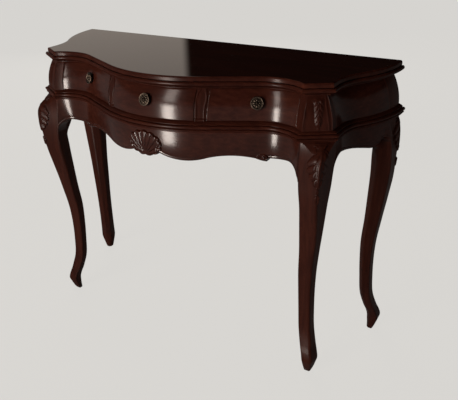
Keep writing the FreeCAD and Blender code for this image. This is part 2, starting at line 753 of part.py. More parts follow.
def cabriole(foot, top, bevel, bulge, backward):
    """Leg from its foot's middle and the outer corner and bevel of its top.

    Both coordinates are taken outward from the inner corner of the leg's block, and the second one
    points to the back where backward is 1, or to the front where it is -1. The block's two inner faces
    are planed flat for the aprons.
    """
    def place(across, along, z):
        return Vector(across, backward * along, z)

    inner = (0.0, 0.0)
    diagonal = math.sqrt(1 / 2)
    round_bulge = size("arris_round") * (math.sqrt(2) - 1) * diagonal
    ridge = (size("arris_round"), size("arris_round"))
    block_ease = size("block_arris_round")
    sections = []
    for rise, swing, side in LEG_SHARES:
        reach = swing * size("knee_swing") * diagonal
        high = (foot[0] + reach, foot[1] + reach)
        width = side * size("knee_side")
        low = (high[0] - width, high[1] - width)
        ease = min(size("arris_round"), width * ARRIS_LIMIT_SHARE)
        sections.append(leg_section(rise * size("knee_height"), low, high, (ease, ease),
                                    ease * (math.sqrt(2) - 1) * diagonal, ease,
                                    width * INNER_CHAMFER_SHARE, place))
    reach = size("knee_swing") * diagonal
    knee = (foot[0] + reach, foot[1] + reach)
    block = (block_ease, block_ease, place)
    sections.append(leg_section(size("knee_height"), inner, knee, ridge, round_bulge, *block))
    for share in SHOULDER_SHARES:
        height = size("knee_height") + share * (WAIST_BASE - size("knee_height"))
        shoulder = [knee[axis] + share**SHOULDER_POWER * (top[axis] - knee[axis]) for axis in (0, 1)]
        eased = [ridge[axis] + share**SHOULDER_POWER * (bevel[axis] - ridge[axis]) for axis in (0, 1)]
        middle_bulge = (round_bulge + bulge) / 2
        sections.append(leg_section(height, inner, shoulder, eased, middle_bulge, *block))
    sections.append(leg_section(WAIST_BASE, inner, top, bevel, bulge, *block))
    leg = Part.makeLoft(sections, True, False)
    low, high = WAIST_BASE - size("apron_height"), WAIST_BASE
    cut_depth = size("overrun")
    reach = size("overrun") + size("knee_side")
    for across, along in (((-cut_depth, 0), (foot[1] - reach, foot[1] + reach)),
                          ((foot[0] - reach, foot[0] + reach), (-cut_depth, 0))):
        front = min(backward * end for end in along)
        box = Part.makeBox(across[1] - across[0], along[1] - along[0], high - low,
                           Vector(across[0], front, low))
        leg = leg.cut(box)
    return leg


def front_leg():
    """The front leg's top is canted along the facet of the aprons' outline."""
    corner = (size("front_leg_reach"), size("front_leg_depth"))
    facet_inner, facet_outer = facet_ends(size("apron_set"), 0)
    across, along = facet_outer[0] - corner[0], facet_outer[1] - corner[1]
    run = across - size("arris_round") / 2
    bevel = (run, run * math.tan(FACET_TURN))
    foot = (size("front_foot_out"), size("front_foot_forward"))
    return cabriole(foot, (across, along + bevel[1]), bevel, size("facet_bulge"), -1)


def back_leg():
    top = (size("back_leg_inset") + size("apron_set"), size("back_leg_depth") - size("back_leg_back"))
    ridge = (size("arris_round"), size("arris_round"))
    foot = (size("back_foot_out"), size("back_foot_backward"))
    return cabriole(foot, top, ridge, size("facet_bulge"), 1)


LEGS = {"front": front_leg(), "back": back_leg()}
for place, shape in LEGS.items():
    for side, sign in MIRROR.items():
        leg = keep(fixed(f"leg_{place}_{side}", mirrored(shape, sign)))
        corner = at(sign * size(f"{place}_leg_reach"), size(f"{place}_leg_depth"), 0)
        leg.Placement = FreeCAD.Placement(corner, FreeCAD.Rotation())

# Aprons: swelled boards under the waist, with a scalloped lower edge and ears beside the legs

APRON_STEPS = 8
APRON_TUCK_SHARE = 2
FRONT_LEG_REACH = size("front_leg_reach")


def apron_block(extra):
    """Block with a face that swells below the waist and tucks in again towards the floor."""
    levels = []
    for step in range(APRON_STEPS + 1):
        rise = step / APRON_STEPS
        swell = math.sin(math.pi * rise) - APRON_TUCK_SHARE * (1 - rise)**2
        levels.append((WAIST_BASE - size("apron_height") * (1 - rise),
                       size("apron_set") + swell * size("apron_swell") + extra))
    return moulded(levels)


def cutter(points, sweep):
    """Solid that takes away all below a line of (point, way point) pairs, swept along a vector."""
    edges = [edge(start, end, way) for (start, unused), (end, way) in zip(points, points[1:])]
    first, last = points[0][0], points[-1][0]
    drop = Vector(0, 0, -size("apron_height"))
    edges += [edge(last, last + drop, None), edge(last + drop, first + drop, None),
              edge(first + drop, first, None)]
    return Part.Face(Part.Wire(edges)).extrude(sweep)


# Lower edge of the front apron: shares of the apron's half length, and of the lobe's drop.
FRONT_EDGE_SHARES = (
    ((0, 0), None),
    ((0.09, 0), None),
    ((0.40, 0.5), (0.21, 1)),
    ((0.68, 0.5), (0.54, 0)),
    ((0.745, 1), (0.71, 0.85)),
    ((0.755, 0.35), None),
)


def ear_way(reach, radius, level, place):
    """Point half way round the quarter-round ear that runs down into a leg at reach.

    The ear starts radius away from the leg, on the side that the radius's sign gives.
    """
    slant = 1 - math.sqrt(1 / 2)
    return place(reach + radius * slant, level - abs(radius) * slant)


def front_apron():
    level = WAIST_BASE - size("apron_edge_rise")
    drop = size("apron_lobe_drop")

    def place(x, z):
        return at(x, 0, z)

    half = {}
    for sign in (-1, 1):
        spots = []
        for (reach, fall), way in FRONT_EDGE_SHARES:
            spot = place(sign * reach * FRONT_LEG_REACH, level - fall * drop)
            middle = way and place(sign * way[0] * FRONT_LEG_REACH, level - way[1] * drop)
            spots.append((spot, middle))
        radius = size("ear_radius")
        leg_face = sign * FRONT_LEG_REACH
        spots.append((place(leg_face - sign * radius, level), None))
        spots.append((place(leg_face, level - radius), ear_way(leg_face, -sign * radius, level, place)))
        half[sign] = spots
    backward = half[-1]
    ways = [None] + [way for spot, way in reversed(backward)]
    left = [(spot, way) for (spot, unused), way in zip(reversed(backward), ways)]
    below = cutter(left + half[1][1:], Vector(0, -FRONT, 0))
    span = slab((-FRONT_LEG_REACH, FRONT_LEG_REACH), (size("side_start") - size("overrun"), FRONT),
                (WAIST_BASE - size("apron_height"), WAIST_BASE))
    return apron_body.common(span).cut(apron_inside.Shape).cut(below)


# Lower edge of a side apron between its ears: shares of its length from the back, and of the lobe's drop.
SIDE_EDGE_SHARES = (
    ((0.33, 1), (0.58, 0.35)),
    ((0.15, 0.2), (0.21, 0.85)),
)


def side_apron():
    level = WAIST_BASE - size("side_edge_rise")
    drop = size("side_lobe_drop")
    front, back = size("front_leg_depth"), size("back_leg_depth")
    length = front - back

    def place(depth, z):
        return at(0, depth, z)

    def spot(share, fall):
        return place(back + share * length, level - fall * drop)

    points = [(place(front, level - size("ear_radius")), None)]
    points.append((place(front - size("ear_radius"), level),
                   ear_way(front, -size("ear_radius"), level, place)))
    points += [(spot(*end), spot(*way)) for end, way in SIDE_EDGE_SHARES]
    radius = size("back_ear_radius")
    points.append((place(back + radius, level), None))
    points.append((place(back, level - radius), ear_way(back, radius, level, place)))
    below = cutter(points, Vector(OUTSIDE, 0, 0))
    span = slab((size("front_leg_reach") - size("overrun"), OUTSIDE), (back, front),
                (WAIST_BASE - size("apron_height"), WAIST_BASE))
    return apron_body.common(span).cut(apron_inside.Shape).cut(below)


apron_body = apron_block(0)
apron_inside = fixed("inside_of_aprons",
                     prism(-size("apron_wall"), WAIST_BASE - size("apron_height"), WAIST_BASE))
keep(fixed("apron_front", front_apron()))
side_board = side_apron()
for side, sign in MIRROR.items():
    keep(fixed(f"apron_{side}", mirrored(side_board, sign)))
keep(board("apron_back", ("-back_leg_reach", "back_leg_reach"),
           ("back_apron_depth", "back_apron_depth + back_apron_thickness"),
           ("waist_base - back_apron_height", "waist_base")))

# Carved shell: a scalloped fan on the face of the front apron

SHELL_LOBES = 13


def shell():
    """The fan's outline cut from the layer between the apron's face and a face in front of it."""
    half_height = size("shell_height") / 2
    middle = WAIST_BASE - half_height - size("shell_lobe")
    edges = []
    for lobe in range(SHELL_LOBES):
        spots = []
        for step, grow in ((0, 0), (0.5, size("shell_lobe")), (1, 0)):
            angle = 2 * math.pi * (lobe + step) / SHELL_LOBES - math.pi / 2
            across = size("shell_half_width") - size("shell_lobe") + grow
            upward = half_height - size("shell_lobe") + grow
            spots.append(at(across * math.cos(angle), 0, middle + upward * math.sin(angle)))
        edges.append(edge(spots[0], spots[2], spots[1]))
    fan = Part.Face(Part.Wire(edges)).extrude(Vector(0, -FRONT, 0))
    front_half = slab((-OUTSIDE, OUTSIDE), (size("hollow_depth"), FRONT), (0, WAIST_BASE))
    return apron_block(size("shell_relief")).common(fan).common(front_half).cut(apron_body)


keep(fixed("apron_shell", shell()))

# Glue blocks in the corners between legs and aprons

BLOCKS = {
    "front": ("front_leg_reach", ("front_leg_depth", "front_leg_depth + block_width")),
    "back": ("back_leg_reach", ("back_apron_depth + back_apron_thickness",
                                "back_apron_depth + back_apron_thickness + back_block_width")),
}
for place, (reach, depths) in BLOCKS.items():
    for side, sign in MIRROR.items():
        ends = (f"{reach} - block_length", reach)
        span = ends if sign > 0 else (f"-({reach})", f"block_length - ({reach})")
        blank = board(f"corner_block_{place}_{side}_blank", span, depths,
                      ("waist_base - block_height", "waist_base"))
        keep(boolean("Part::Common", f"corner_block_{place}_{side}", blank, apron_inside))

doc.recompute()

faults = []
for thing in doc.Objects:
    if {"Invalid", "Error"} & set(thing.State):
        faults.append(f"{thing.Label}: {thing.State}")
for thing in subparts:
    if thing.Shape.isNull() or not thing.Shape.isValid() or not thing.Shape.Solids:
        faults.append(f"{thing.Label}: no valid solid")
if faults:
    raise SystemExit("\n".join(faults))

for thing in subparts:
    thing.Shape.exportStep(f"parts/{thing.Label}.step")
    print(thing.Label, len(thing.Shape.Solids), round(thing.Shape.Volume))
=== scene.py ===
import math

import bmesh
import bpy
from mathutils import Matrix, Vector


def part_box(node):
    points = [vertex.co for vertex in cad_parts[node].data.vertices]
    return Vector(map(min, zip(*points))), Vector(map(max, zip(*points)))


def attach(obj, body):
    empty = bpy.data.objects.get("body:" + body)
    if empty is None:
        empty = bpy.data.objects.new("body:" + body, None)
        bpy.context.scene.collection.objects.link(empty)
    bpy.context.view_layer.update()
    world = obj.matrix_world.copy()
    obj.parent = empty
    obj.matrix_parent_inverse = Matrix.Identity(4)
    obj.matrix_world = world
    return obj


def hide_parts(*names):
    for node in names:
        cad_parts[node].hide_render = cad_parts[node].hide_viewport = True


# A pier table in dark polished mahogany: the show wood is modelled here as fine meshes with its carving,
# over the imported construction. Lengths are in millimetres until a mesh is made. Depths are measured
# forward from the back edge of the top, and an offset is taken outward from the plan outline of the top.

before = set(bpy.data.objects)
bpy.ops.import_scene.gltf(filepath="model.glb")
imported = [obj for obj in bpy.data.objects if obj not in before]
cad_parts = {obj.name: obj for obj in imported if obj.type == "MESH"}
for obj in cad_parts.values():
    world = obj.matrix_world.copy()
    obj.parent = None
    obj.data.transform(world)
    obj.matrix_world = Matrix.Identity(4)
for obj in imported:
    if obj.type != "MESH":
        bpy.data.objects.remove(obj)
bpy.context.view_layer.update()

MM = 0.001


def low(node):
    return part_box(node)[0] / MM


def high(node):
    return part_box(node)[1] / MM


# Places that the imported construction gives

TABLE_HEIGHT = high("top_board").z
TOP_UNDER = low("top_board").z
FRIEZE_BASE = high("waist_front").z
WAIST_BASE = low("waist_front").z
FRIEZE_HEIGHT = TOP_UNDER - FRIEZE_BASE
WAIST_HEIGHT = FRIEZE_BASE - WAIST_BASE
HALF_WIDTH = high("top_board").x
BACK_EDGE = high("top_board").y
BOW_DEPTH = BACK_EDGE - low("top_board").y
STILE_SPAN = (low("stile_right").x, high("stile_right").x)
POST_REACH = low("post_front_right").x
POST_DEPTH = BACK_EDGE - high("post_front_right").y
BACK_POST_REACH = low("post_back_right").x
BACK_POST_SPAN = (BACK_EDGE - high("post_back_right").y, BACK_EDGE - low("post_back_right").y)
SIDE_START = BACK_EDGE - high("waist_front").y
WAIST_BACK = BACK_EDGE - high("waist_right").y
LEG_REACH = high("apron_front").x
SIDE_APRON_SPAN = (BACK_EDGE - high("apron_right").y, BACK_EDGE - low("apron_right").y)
LEG_DEPTH = SIDE_APRON_SPAN[1]
BACK_LEG_DEPTH = SIDE_APRON_SPAN[0]
BACK_LEG_REACH = high("apron_back").x

# Plan outline of the top at the tip of its moulding

FLANK_RUN = 133
HOLLOW_INSET = 210
HOLLOW_SET_BACK = 104
HOLLOW_RADIUS = 115
FACET_INSET = 75
FACET_SET_BACK = 121
FACET_RUN, FACET_FALL = 60, 36.5
SIDE_SWELL_SHARE = 0.688

HOLLOW_REACH = HALF_WIDTH - HOLLOW_INSET
FACET_REACH = HALF_WIDTH - FACET_INSET
FACET_DEPTH = BOW_DEPTH - FACET_SET_BACK
FACET_TURN = math.atan2(FACET_FALL, FACET_RUN)
RADII = (HOLLOW_REACH**2 + HOLLOW_SET_BACK**2 - FLANK_RUN**2) / (2 * HOLLOW_SET_BACK)
BOW_RADIUS = RADII - HOLLOW_RADIUS
BOW_CENTRE = (0.0, BOW_DEPTH - BOW_RADIUS)
HOLLOW_CENTRE = (HOLLOW_REACH, BOW_DEPTH - HOLLOW_SET_BACK + HOLLOW_RADIUS)
FLANK_TURN = math.atan2(RADII, FLANK_RUN) - math.atan2(HOLLOW_CENTRE[1] - BOW_CENTRE[1], HOLLOW_REACH)
FACET_NORMAL = (math.sin(FACET_TURN), math.cos(FACET_TURN))
FACET_INWARD = (-math.cos(FACET_TURN), math.sin(FACET_TURN))
SIDE_TURN = 2 * math.atan2(HALF_WIDTH - FACET_REACH, SIDE_START)
SIDE_RADII = SIDE_START / math.sin(SIDE_TURN)
SIDE_BACK_RADIUS = SIDE_RADII * SIDE_SWELL_SHARE
SIDE_FRONT_RADIUS = SIDE_RADII - SIDE_BACK_RADIUS
SIDES = {"left": -1, "right": 1}


def spread(start, end, count):
    """Evenly spaced values from start to end."""
    return [start + (end - start) * step / (count - 1) for step in range(count)]


def straight(start, end, count):
    """Evenly spaced points from start to end."""
    return list(zip(spread(start[0], end[0], count), spread(start[1], end[1], count)))


def smooth(value, start=0.0, end=1.0):
    """Soft step from 0 at start to 1 at end."""
    share = min(1.0, max(0.0, (value - start) / (end - start)))
    return share * share * (3 - 2 * share)


def ridge(distance, width):
    """Soft rounded ridge: 1 at no distance, fading over its width."""
    return math.exp(-(distance / width)**2)


def curve(table, place):
    """Smooth line through (place, value) pairs in rising order, flat past its ends."""
    if place <= table[0][0]:
        return table[0][1]
    if place >= table[-1][0]:
        return table[-1][1]
    index = max(i for i in range(len(table) - 1) if table[i][0] <= place)
    slopes = []
    for here in (index, index + 1):
        before, after = max(here - 1, 0), min(here + 1, len(table) - 1)
        slopes.append((table[after][1] - table[before][1]) / (table[after][0] - table[before][0]))
    (start, first), (end, last) = table[index], table[index + 1]
    span = end - start
    share = (place - start) / span
    bend = (2 * share + 1) * (1 - share)**2 * first + (3 - 2 * share) * share**2 * last
    return bend + share * (1 - share)**2 * span * slopes[0] - share**2 * (1 - share) * span * slopes[1]


def turned(centre, radius, angle):
    return (centre[0] + radius * math.sin(angle), centre[1] + radius * math.cos(angle))


def facet_ends(offset, proud):
    """Inner and outer end of the canted facet of the outline moved out by offset."""
    shift = offset + proud
    start = (FACET_REACH + FACET_NORMAL[0] * shift, FACET_DEPTH + FACET_NORMAL[1] * shift)
    gap = (start[0] - HOLLOW_CENTRE[0], start[1] - HOLLOW_CENTRE[1])
    along = gap[0] * FACET_INWARD[0] + gap[1] * FACET_INWARD[1]
    radius = HOLLOW_RADIUS - offset
    inner = -along - math.sqrt(along**2 - gap[0]**2 - gap[1]**2 + radius**2)
    outer = (FACET_NORMAL[0] * shift - offset) / math.cos(FACET_TURN)
    return [(start[0] + FACET_INWARD[0] * run, start[1] + FACET_INWARD[1] * run) for run in (inner, outer)]


def front_face(x, offset):
    """Depth of the front at x on the outline moved out by offset, and the way the face turns there."""
    reach = abs(x)
    bow = BOW_RADIUS + offset
    hollow = HOLLOW_RADIUS - offset
    bow_end = turned(BOW_CENTRE, bow, FLANK_TURN)
    if reach < bow_end[0]:
        turn = math.asin(reach / bow)
        depth = BOW_CENTRE[1] + bow * math.cos(turn)
    elif reach < turned(HOLLOW_CENTRE, -hollow, FLANK_TURN)[0]:
        turn = FLANK_TURN
        depth = bow_end[1] - (reach - bow_end[0]) * math.tan(turn)
    else:
        turn = math.asin((HOLLOW_CENTRE[0] - reach) / hollow)
        depth = HOLLOW_CENTRE[1] - hollow * math.cos(turn)
        inner = facet_ends(offset, 0)[0]
        if reach > inner[0]:
            turn = FACET_TURN
            depth = inner[1] - (reach - inner[0]) * math.tan(FACET_TURN)
    return depth, math.copysign(turn, x)


def side_reach(depth, offset):
    """Reach of the side at a depth on the outline moved out by offset."""
    front = SIDE_FRONT_RADIUS - offset
    drop = SIDE_START - depth
    if drop <= 0:
        return FACET_REACH + offset
    if drop <= front * math.sin(SIDE_TURN):
        return FACET_REACH + SIDE_FRONT_RADIUS - math.sqrt(front**2 - drop**2)
    return HALF_WIDTH - SIDE_BACK_RADIUS + math.sqrt((SIDE_BACK_RADIUS + offset)**2 - depth**2)


BOW_STEPS, FLANK_STEPS, HOLLOW_STEPS, FACET_STEPS, SIDE_STEPS = 44, 12, 30, 8, 56


def front_half(offset, proud=0.0):
    """Right half of the front, from the middle of the bow to the outer end of the facet."""
    inner, outer = facet_ends(offset, proud)
    hollow = HOLLOW_RADIUS - offset
    inner_turn = math.atan2(HOLLOW_CENTRE[0] - inner[0], HOLLOW_CENTRE[1] - inner[1])
    points = [turned(BOW_CENTRE, BOW_RADIUS + offset, a) for a in spread(0, FLANK_TURN, BOW_STEPS)]
    points += straight(points[-1], turned(HOLLOW_CENTRE, -hollow, FLANK_TURN), FLANK_STEPS)[1:]
    points += [turned(HOLLOW_CENTRE, -hollow, a) for a in spread(FLANK_TURN, inner_turn, HOLLOW_STEPS)][1:]
    return points + straight(inner, outer, FACET_STEPS)[1:]


def side_half(offset, start, end, count=SIDE_STEPS):
    """Right side between two depths."""
    return [(side_reach(depth, offset), depth) for depth in spread(start, end, count)]


def whole(half):
    """A right half from the middle, with its mirror image before it."""
    return [(-x, depth) for x, depth in reversed(half[1:])] + half


def at(x, depth, z):
    return (x, BACK_EDGE - depth, z)


def lifted(points, z):
    return [at(x, depth, z) for x, depth in points]


MERGE_DISTANCE = 2e-6


class Form:
    """Points in millimetres and the faces between them, gathered for one piece."""

    def __init__(self):
        self.points = []
        self.faces = []

    def row(self, points):
        start = len(self.points)
        self.points += points
        return list(range(start, len(self.points)))

    def skin(self, rows, closed=False):
        for lower, upper in zip(rows, rows[1:]):
            count = len(lower)
            for here in range(count if closed else count - 1):
                ahead = (here + 1) % count
                self.faces.append((lower[here], lower[ahead], upper[ahead], upper[here]))

    def cap(self, row):
        self.faces.append(tuple(row))

    def tube(self, rings):
        """Closed rings one above another, with both ends capped."""
        rows = [self.row(ring) for ring in rings]
        self.skin(rows, closed=True)
        self.cap(rows[0])
        self.cap(rows[-1])

    def slab(self, front, back):
        """Solid between two grids of the same size."""
        grids = [[self.row(line) for line in grid] for grid in (front, back)]
        for grid in grids:
            self.skin(grid)
        sides = [list(zip(*grid)) for grid in grids]
        for near, far in (grids, sides):
            self.skin([near[0], far[0]])
            self.skin([near[-1], far[-1]])

    def piece(self, name, finish, body="carcase", replaces=(), crease=38):
        """The piece itself, smooth but for edges sharper than crease degrees, riding on its body."""
        mesh = bpy.data.meshes.new(name)
        mesh.from_pydata([[value * MM for value in point] for point in self.points], [], self.faces)
        work = bmesh.new()
        work.from_mesh(mesh)
        bmesh.ops.remove_doubles(work, verts=work.verts, dist=MERGE_DISTANCE)
        bmesh.ops.dissolve_degenerate(work, edges=work.edges, dist=MERGE_DISTANCE)
        bmesh.ops.recalc_face_normals(work, faces=work.faces)
        work.to_mesh(mesh)
        work.free()
        mesh.shade_smooth()
        mesh.set_sharp_from_angle(angle=math.radians(crease))
        mesh.materials.append(finish)
        made = bpy.data.objects.new(name, mesh)
        bpy.context.scene.collection.objects.link(made)
        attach(made, body)
        if replaces:
            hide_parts(*replaces)
        return made


def mirrored(points, sign):
    return [(sign * x, y, z) for x, y, z in points]


# Finishes

def feed(tree, socket, value):
    """Links the output of another node to a socket, or sets the socket's own value."""
    if isinstance(value, bpy.types.NodeSocket):
        tree.links.new(value, socket)
    else:
        socket.default_value = value


def node(tree, kind, *values, settings=None, **sockets):
    """Shader node; each value or socket takes a number, a colour or the output of another node."""
    made = tree.nodes.new("ShaderNode" + kind)
    for key, value in (settings or {}).items():
        setattr(made, key, value)
    pairs = list(enumerate(values)) + [(key.replace("_", " "), value) for key, value in sockets.items()]
    for key, value in pairs:
        feed(tree, made.inputs[key], value)
    return made


def maths(tree, operation, first, second):
    return node(tree, "Math", first, second, settings={"operation": operation}).outputs[0]


def total(tree, first, second):
    return maths(tree, "ADD", first, second)


def ramp(tree, factor, *stops):
    """Colour ramp through (place, colour) stops."""
    made = node(tree, "ValToRGB", factor)
    elements = made.color_ramp.elements
    while len(elements) < len(stops):
        elements.new(1.0)
    for element, (place, colour) in zip(elements, stops):
        element.position = place
        element.color = (*colour, 1.0)
    return made.outputs["Color"]


def scaled(tree, value, low_end, high_end):
    """A factor from 0 to 1 brought to another range."""
    return node(tree, "MapRange", value, To_Min=low_end, To_Max=high_end).outputs["Result"]


def noise(tree, coordinates, scale, detail=4.0, roughness=0.55, distortion=0.0):
    made = node(tree, "TexNoise", Vector=coordinates, Scale=scale, Detail=detail, Roughness=roughness,
                Distortion=distortion)
    return made.outputs["Fac"]


def mixed(tree, factor, first, second, blend="MIX"):
    made = node(tree, "Mix", settings={"data_type": "RGBA", "blend_type": blend})
    for key, value in ((0, factor), (6, first), (7, second)):
        feed(tree, made.inputs[key], value)
    return made.outputs[2]


def places(tree):
    return node(tree, "TexCoord").outputs["Object"]


def along_grain(tree, axis, length, width):
    """Object coordinates drawn out along one axis, as the fibres of wood are."""
    scale = [1 / width] * 3
    scale["xyz".index(axis)] = 1 / length
    return node(tree, "Mapping", Vector=places(tree), Scale=scale).outputs["Vector"]


def finished(tree, shader):
    node(tree, "OutputMaterial", Surface=shader.outputs[0])


def surfaced(tree, relief, strength, distance, **sockets):
    """Ends a finish with one shader over a bumped surface."""
    bump = node(tree, "Bump", Strength=strength, Distance=distance, Height=relief).outputs["Normal"]
    finished(tree, node(tree, "BsdfPrincipled", Normal=bump, **sockets))


def blank(name):
    material = bpy.data.materials.new(name)
    material.use_nodes = True
    material.node_tree.nodes.clear()
    return material, material.node_tree


# Lengths and widths in the grain are in metres
MAHOGANY_TONES = ((0.025, 0.0066, 0.0042), (0.046, 0.0118, 0.0074), (0.074, 0.0202, 0.0120))
FIBRE_SIZE, FIGURE_SIZE, PORE_SIZE = (0.16, 0.009), (0.9, 0.22), (0.011, 0.0006)
FIGURE_SHARE, FIGURE_SCALE = 0.42, 1.6
TONE_STOPS = (0.34, 0.52, 0.7)
PORE_SHADE, PORE_RELIEF = 0.22, 0.35
# Painted shade: hollows and crevices are darkened by curvature, while worn edges are lighter
HOLLOW_SHADE_AND_WEAR_STOPS = ((0.43, (0.35, 0.33, 0.33)), (0.495, (1, 1, 1)), (0.53, (1, 1, 1)), (0.62, (1.9, 1.7, 1.5)))
DUST_ROUGHNESS, GRIT_ROUGHNESS = (-0.05, 0.09), (-0.03, 0.04)
DUST_SCALE, GRIT_SCALE = 5.0, 90.0
WOOD_ROUGHNESS = 0.42
WOOD_BUMP = (0.10, 0.0006)
WOOD_IOR, COAT_IOR = 1.45, 1.5


def polished_wood(name, axis, polish, coat, depth=1.0):
    """Polished mahogany: drawn-out fibres, broad figure, fine pores, lighter worn edges and painted shade in
    the hollows.
    """
    # A depth below 1 darkens the tones, which paints shade into the colour
    tones = [[depth * part for part in tone] for tone in MAHOGANY_TONES]
    material, tree = blank(name)
    fibres, broad, pores = [along_grain(tree, axis, *size) for size in (FIBRE_SIZE, FIGURE_SIZE, PORE_SIZE)]
    fibre = noise(tree, fibres, 1.0, detail=7.0, roughness=0.62, distortion=0.35)
    figure = noise(tree, broad, FIGURE_SCALE, detail=3.0, distortion=0.8)
    pore = noise(tree, pores, 1.0, detail=2.0)
    blend = node(tree, "Mix", FIGURE_SHARE, settings={"data_type": "FLOAT"})
    tree.links.new(fibre, blend.inputs[2])
    tree.links.new(figure, blend.inputs[3])
    colour = ramp(tree, blend.outputs[0], *zip(TONE_STOPS, tones))
    colour = mixed(tree, scaled(tree, pore, 0.0, PORE_SHADE), colour, (*tones[0], 1.0))
    # Painted shade in the hollows and lighter worn edges, both taken from the curvature of the surface
    curvature = node(tree, "NewGeometry").outputs["Pointiness"]
    colour = mixed(tree, 1.0, colour, ramp(tree, curvature, *HOLLOW_SHADE_AND_WEAR_STOPS), "MULTIPLY")
    dust = noise(tree, places(tree), DUST_SCALE, detail=5.0)
    grit = noise(tree, places(tree), GRIT_SCALE, detail=3.0)
    rough = total(tree, scaled(tree, dust, *DUST_ROUGHNESS), scaled(tree, grit, *GRIT_ROUGHNESS))
    rough = total(tree, rough, WOOD_ROUGHNESS)
    relief = total(tree, scaled(tree, pore, 0.0, PORE_RELIEF), scaled(tree, fibre, 0.0, 1.0))
    surfaced(tree, relief, *WOOD_BUMP, Base_Color=colour, Roughness=rough, IOR=WOOD_IOR,
             Specular_IOR_Level=0.0, Coat_Weight=coat, Coat_Roughness=polish, Coat_IOR=COAT_IOR)
    return material


PLAIN_FIBRE_SIZE, STREAK_SIZE = (0.22, 0.006), (0.7, 0.03)
STREAK_SHADE = 0.5
PLAIN_ROUGHNESS = (-0.08, 0.1)
PLAIN_BUMP = (0.25, 0.0005)
PLAIN_STOPS = (0.3, 0.72)


def plain_wood(name, axis, dark, light, roughness):
    """Unpolished hardwood with open grain and a few darker streaks."""
    material, tree = blank(name)
    fibres, streaks = [along_grain(tree, axis, *size) for size in (PLAIN_FIBRE_SIZE, STREAK_SIZE)]
    fibre = noise(tree, fibres, 1.0, detail=7.0, roughness=0.65, distortion=0.3)
    streak = noise(tree, streaks, 1.0, detail=3.0, distortion=0.5)
    colour = ramp(tree, fibre, *zip(PLAIN_STOPS, (dark, light)))
    colour = mixed(tree, scaled(tree, streak, 0.0, STREAK_SHADE), colour, (*dark, 1.0))
    rough = scaled(tree, fibre, *(roughness + change for change in PLAIN_ROUGHNESS))
    surfaced(tree, fibre, *PLAIN_BUMP, Base_Color=colour, Roughness=rough)
    return material


RAISED_STOPS = (0.46, 0.56)
CLOUD_SHARES = (-0.25, 0.35)
SPECK_ROUGHNESS = (-0.08, 0.12)
CLOUD_SCALE, SPECK_SCALE = 160.0, 900.0
METAL_BUMP = (0.2, 0.0002)
METAL_STOPS = (0.15, 0.85)


def old_metal(name, bright, patina, roughness):
    """Cast metal, bright on its raised edges and dark in its hollows."""
    material, tree = blank(name)
    cloud = noise(tree, places(tree), CLOUD_SCALE, detail=5.0)
    speck = noise(tree, places(tree), SPECK_SCALE, detail=3.0)
    curvature = node(tree, "NewGeometry").outputs["Pointiness"]
    raised = node(tree, "MapRange", curvature, *RAISED_STOPS).outputs["Result"]
    share = total(tree, raised, scaled(tree, cloud, *CLOUD_SHARES))
    colour = ramp(tree, share, *zip(METAL_STOPS, (patina, bright)))
    rough = total(tree, scaled(tree, speck, *SPECK_ROUGHNESS), roughness)
    surfaced(tree, speck, *METAL_BUMP, Base_Color=colour, Metallic=1.0, Roughness=rough)
    return material


# Roughness and share of the polish by the way the grain runs: legs, posts and stiles are duller
POLISH = {"x": (0.17, 0.22), "y": (0.16, 0.11), "z": (0.31, 0.085)}
MOULDING_POLISH = (0.24, 0.07)
TABLE_POLISH = (0.04, 0.9)
# Painted shade: the flat face of the top takes the wood's tones at half strength, darker than the rest
TOP_PAINTED_SHADE_DEPTH = 0.5
DRAWER_TONES = ((0.19, 0.105, 0.05), (0.40, 0.26, 0.14))
INNER_TONES = ((0.075, 0.036, 0.019), (0.19, 0.105, 0.058))
DRAWER_ROUGHNESS, INNER_ROUGHNESS = 0.62, 0.66
BRASS_TONES = ((0.038, 0.028, 0.021), (0.012, 0.009, 0.007))
STEEL_TONES = ((0.55, 0.55, 0.56), (0.22, 0.21, 0.2))
BRASS_ROUGHNESS, STEEL_ROUGHNESS = 0.46, 0.38

MAHOGANY = {axis: polished_wood(f"mahogany_along_{axis}", axis, *POLISH[axis]) for axis in POLISH}
MOULDING = {axis: polished_wood(f"mahogany_moulding_along_{axis}", axis, *MOULDING_POLISH) for axis in "xy"}
TOP_POLISH_WITH_PAINTED_SHADE = polished_wood("mahogany_top_painted_shade", "x", *TABLE_POLISH, TOP_PAINTED_SHADE_DEPTH)
DRAWER_WOOD = {axis: plain_wood(f"drawer_wood_along_{axis}", axis, *DRAWER_TONES, DRAWER_ROUGHNESS)
               for axis in "xy"}
INNER_WOOD = {axis: plain_wood(f"inner_wood_along_{axis}", axis, *INNER_TONES, INNER_ROUGHNESS)
              for axis in "xyz"}
BRASS = old_metal("antique_brass", *BRASS_TONES, BRASS_ROUGHNESS)
STEEL = old_metal("plain_steel", *STEEL_TONES, STEEL_ROUGHNESS)

# Top: an undercut, a bead, a quirk, a fillet and a rounded edge

TOP_UNDER_SET = 16
TOP_BEAD_RADIUS = 5.5
TOP_BEAD_SHARE = 0.42
TOP_COVE_SHARES = (0.12, 0.8, 0.9)
TOP_QUIRK = 1.5
TOP_QUIRK_RISE, TOP_QUIRK_DEPTH = 0.1, 1.2
TOP_QUIRK_SHARES = (0.7, 0.8)
TOP_ROUND = 5
TOP_FLAT_INSETS = (1.5, 9.0)
TOP_FLAT_NORMAL = 0.97
BEAD_STEPS, COVE_STEPS, ROUND_STEPS = 14, 6, 7


def bead(radius, tip, middle):
    """Levels of a half-round bead, from below upward."""
    angles = spread(-math.pi / 2, math.pi / 2, BEAD_STEPS)
    return [(middle + radius * math.sin(a), tip - radius + radius * math.cos(a)) for a in angles]


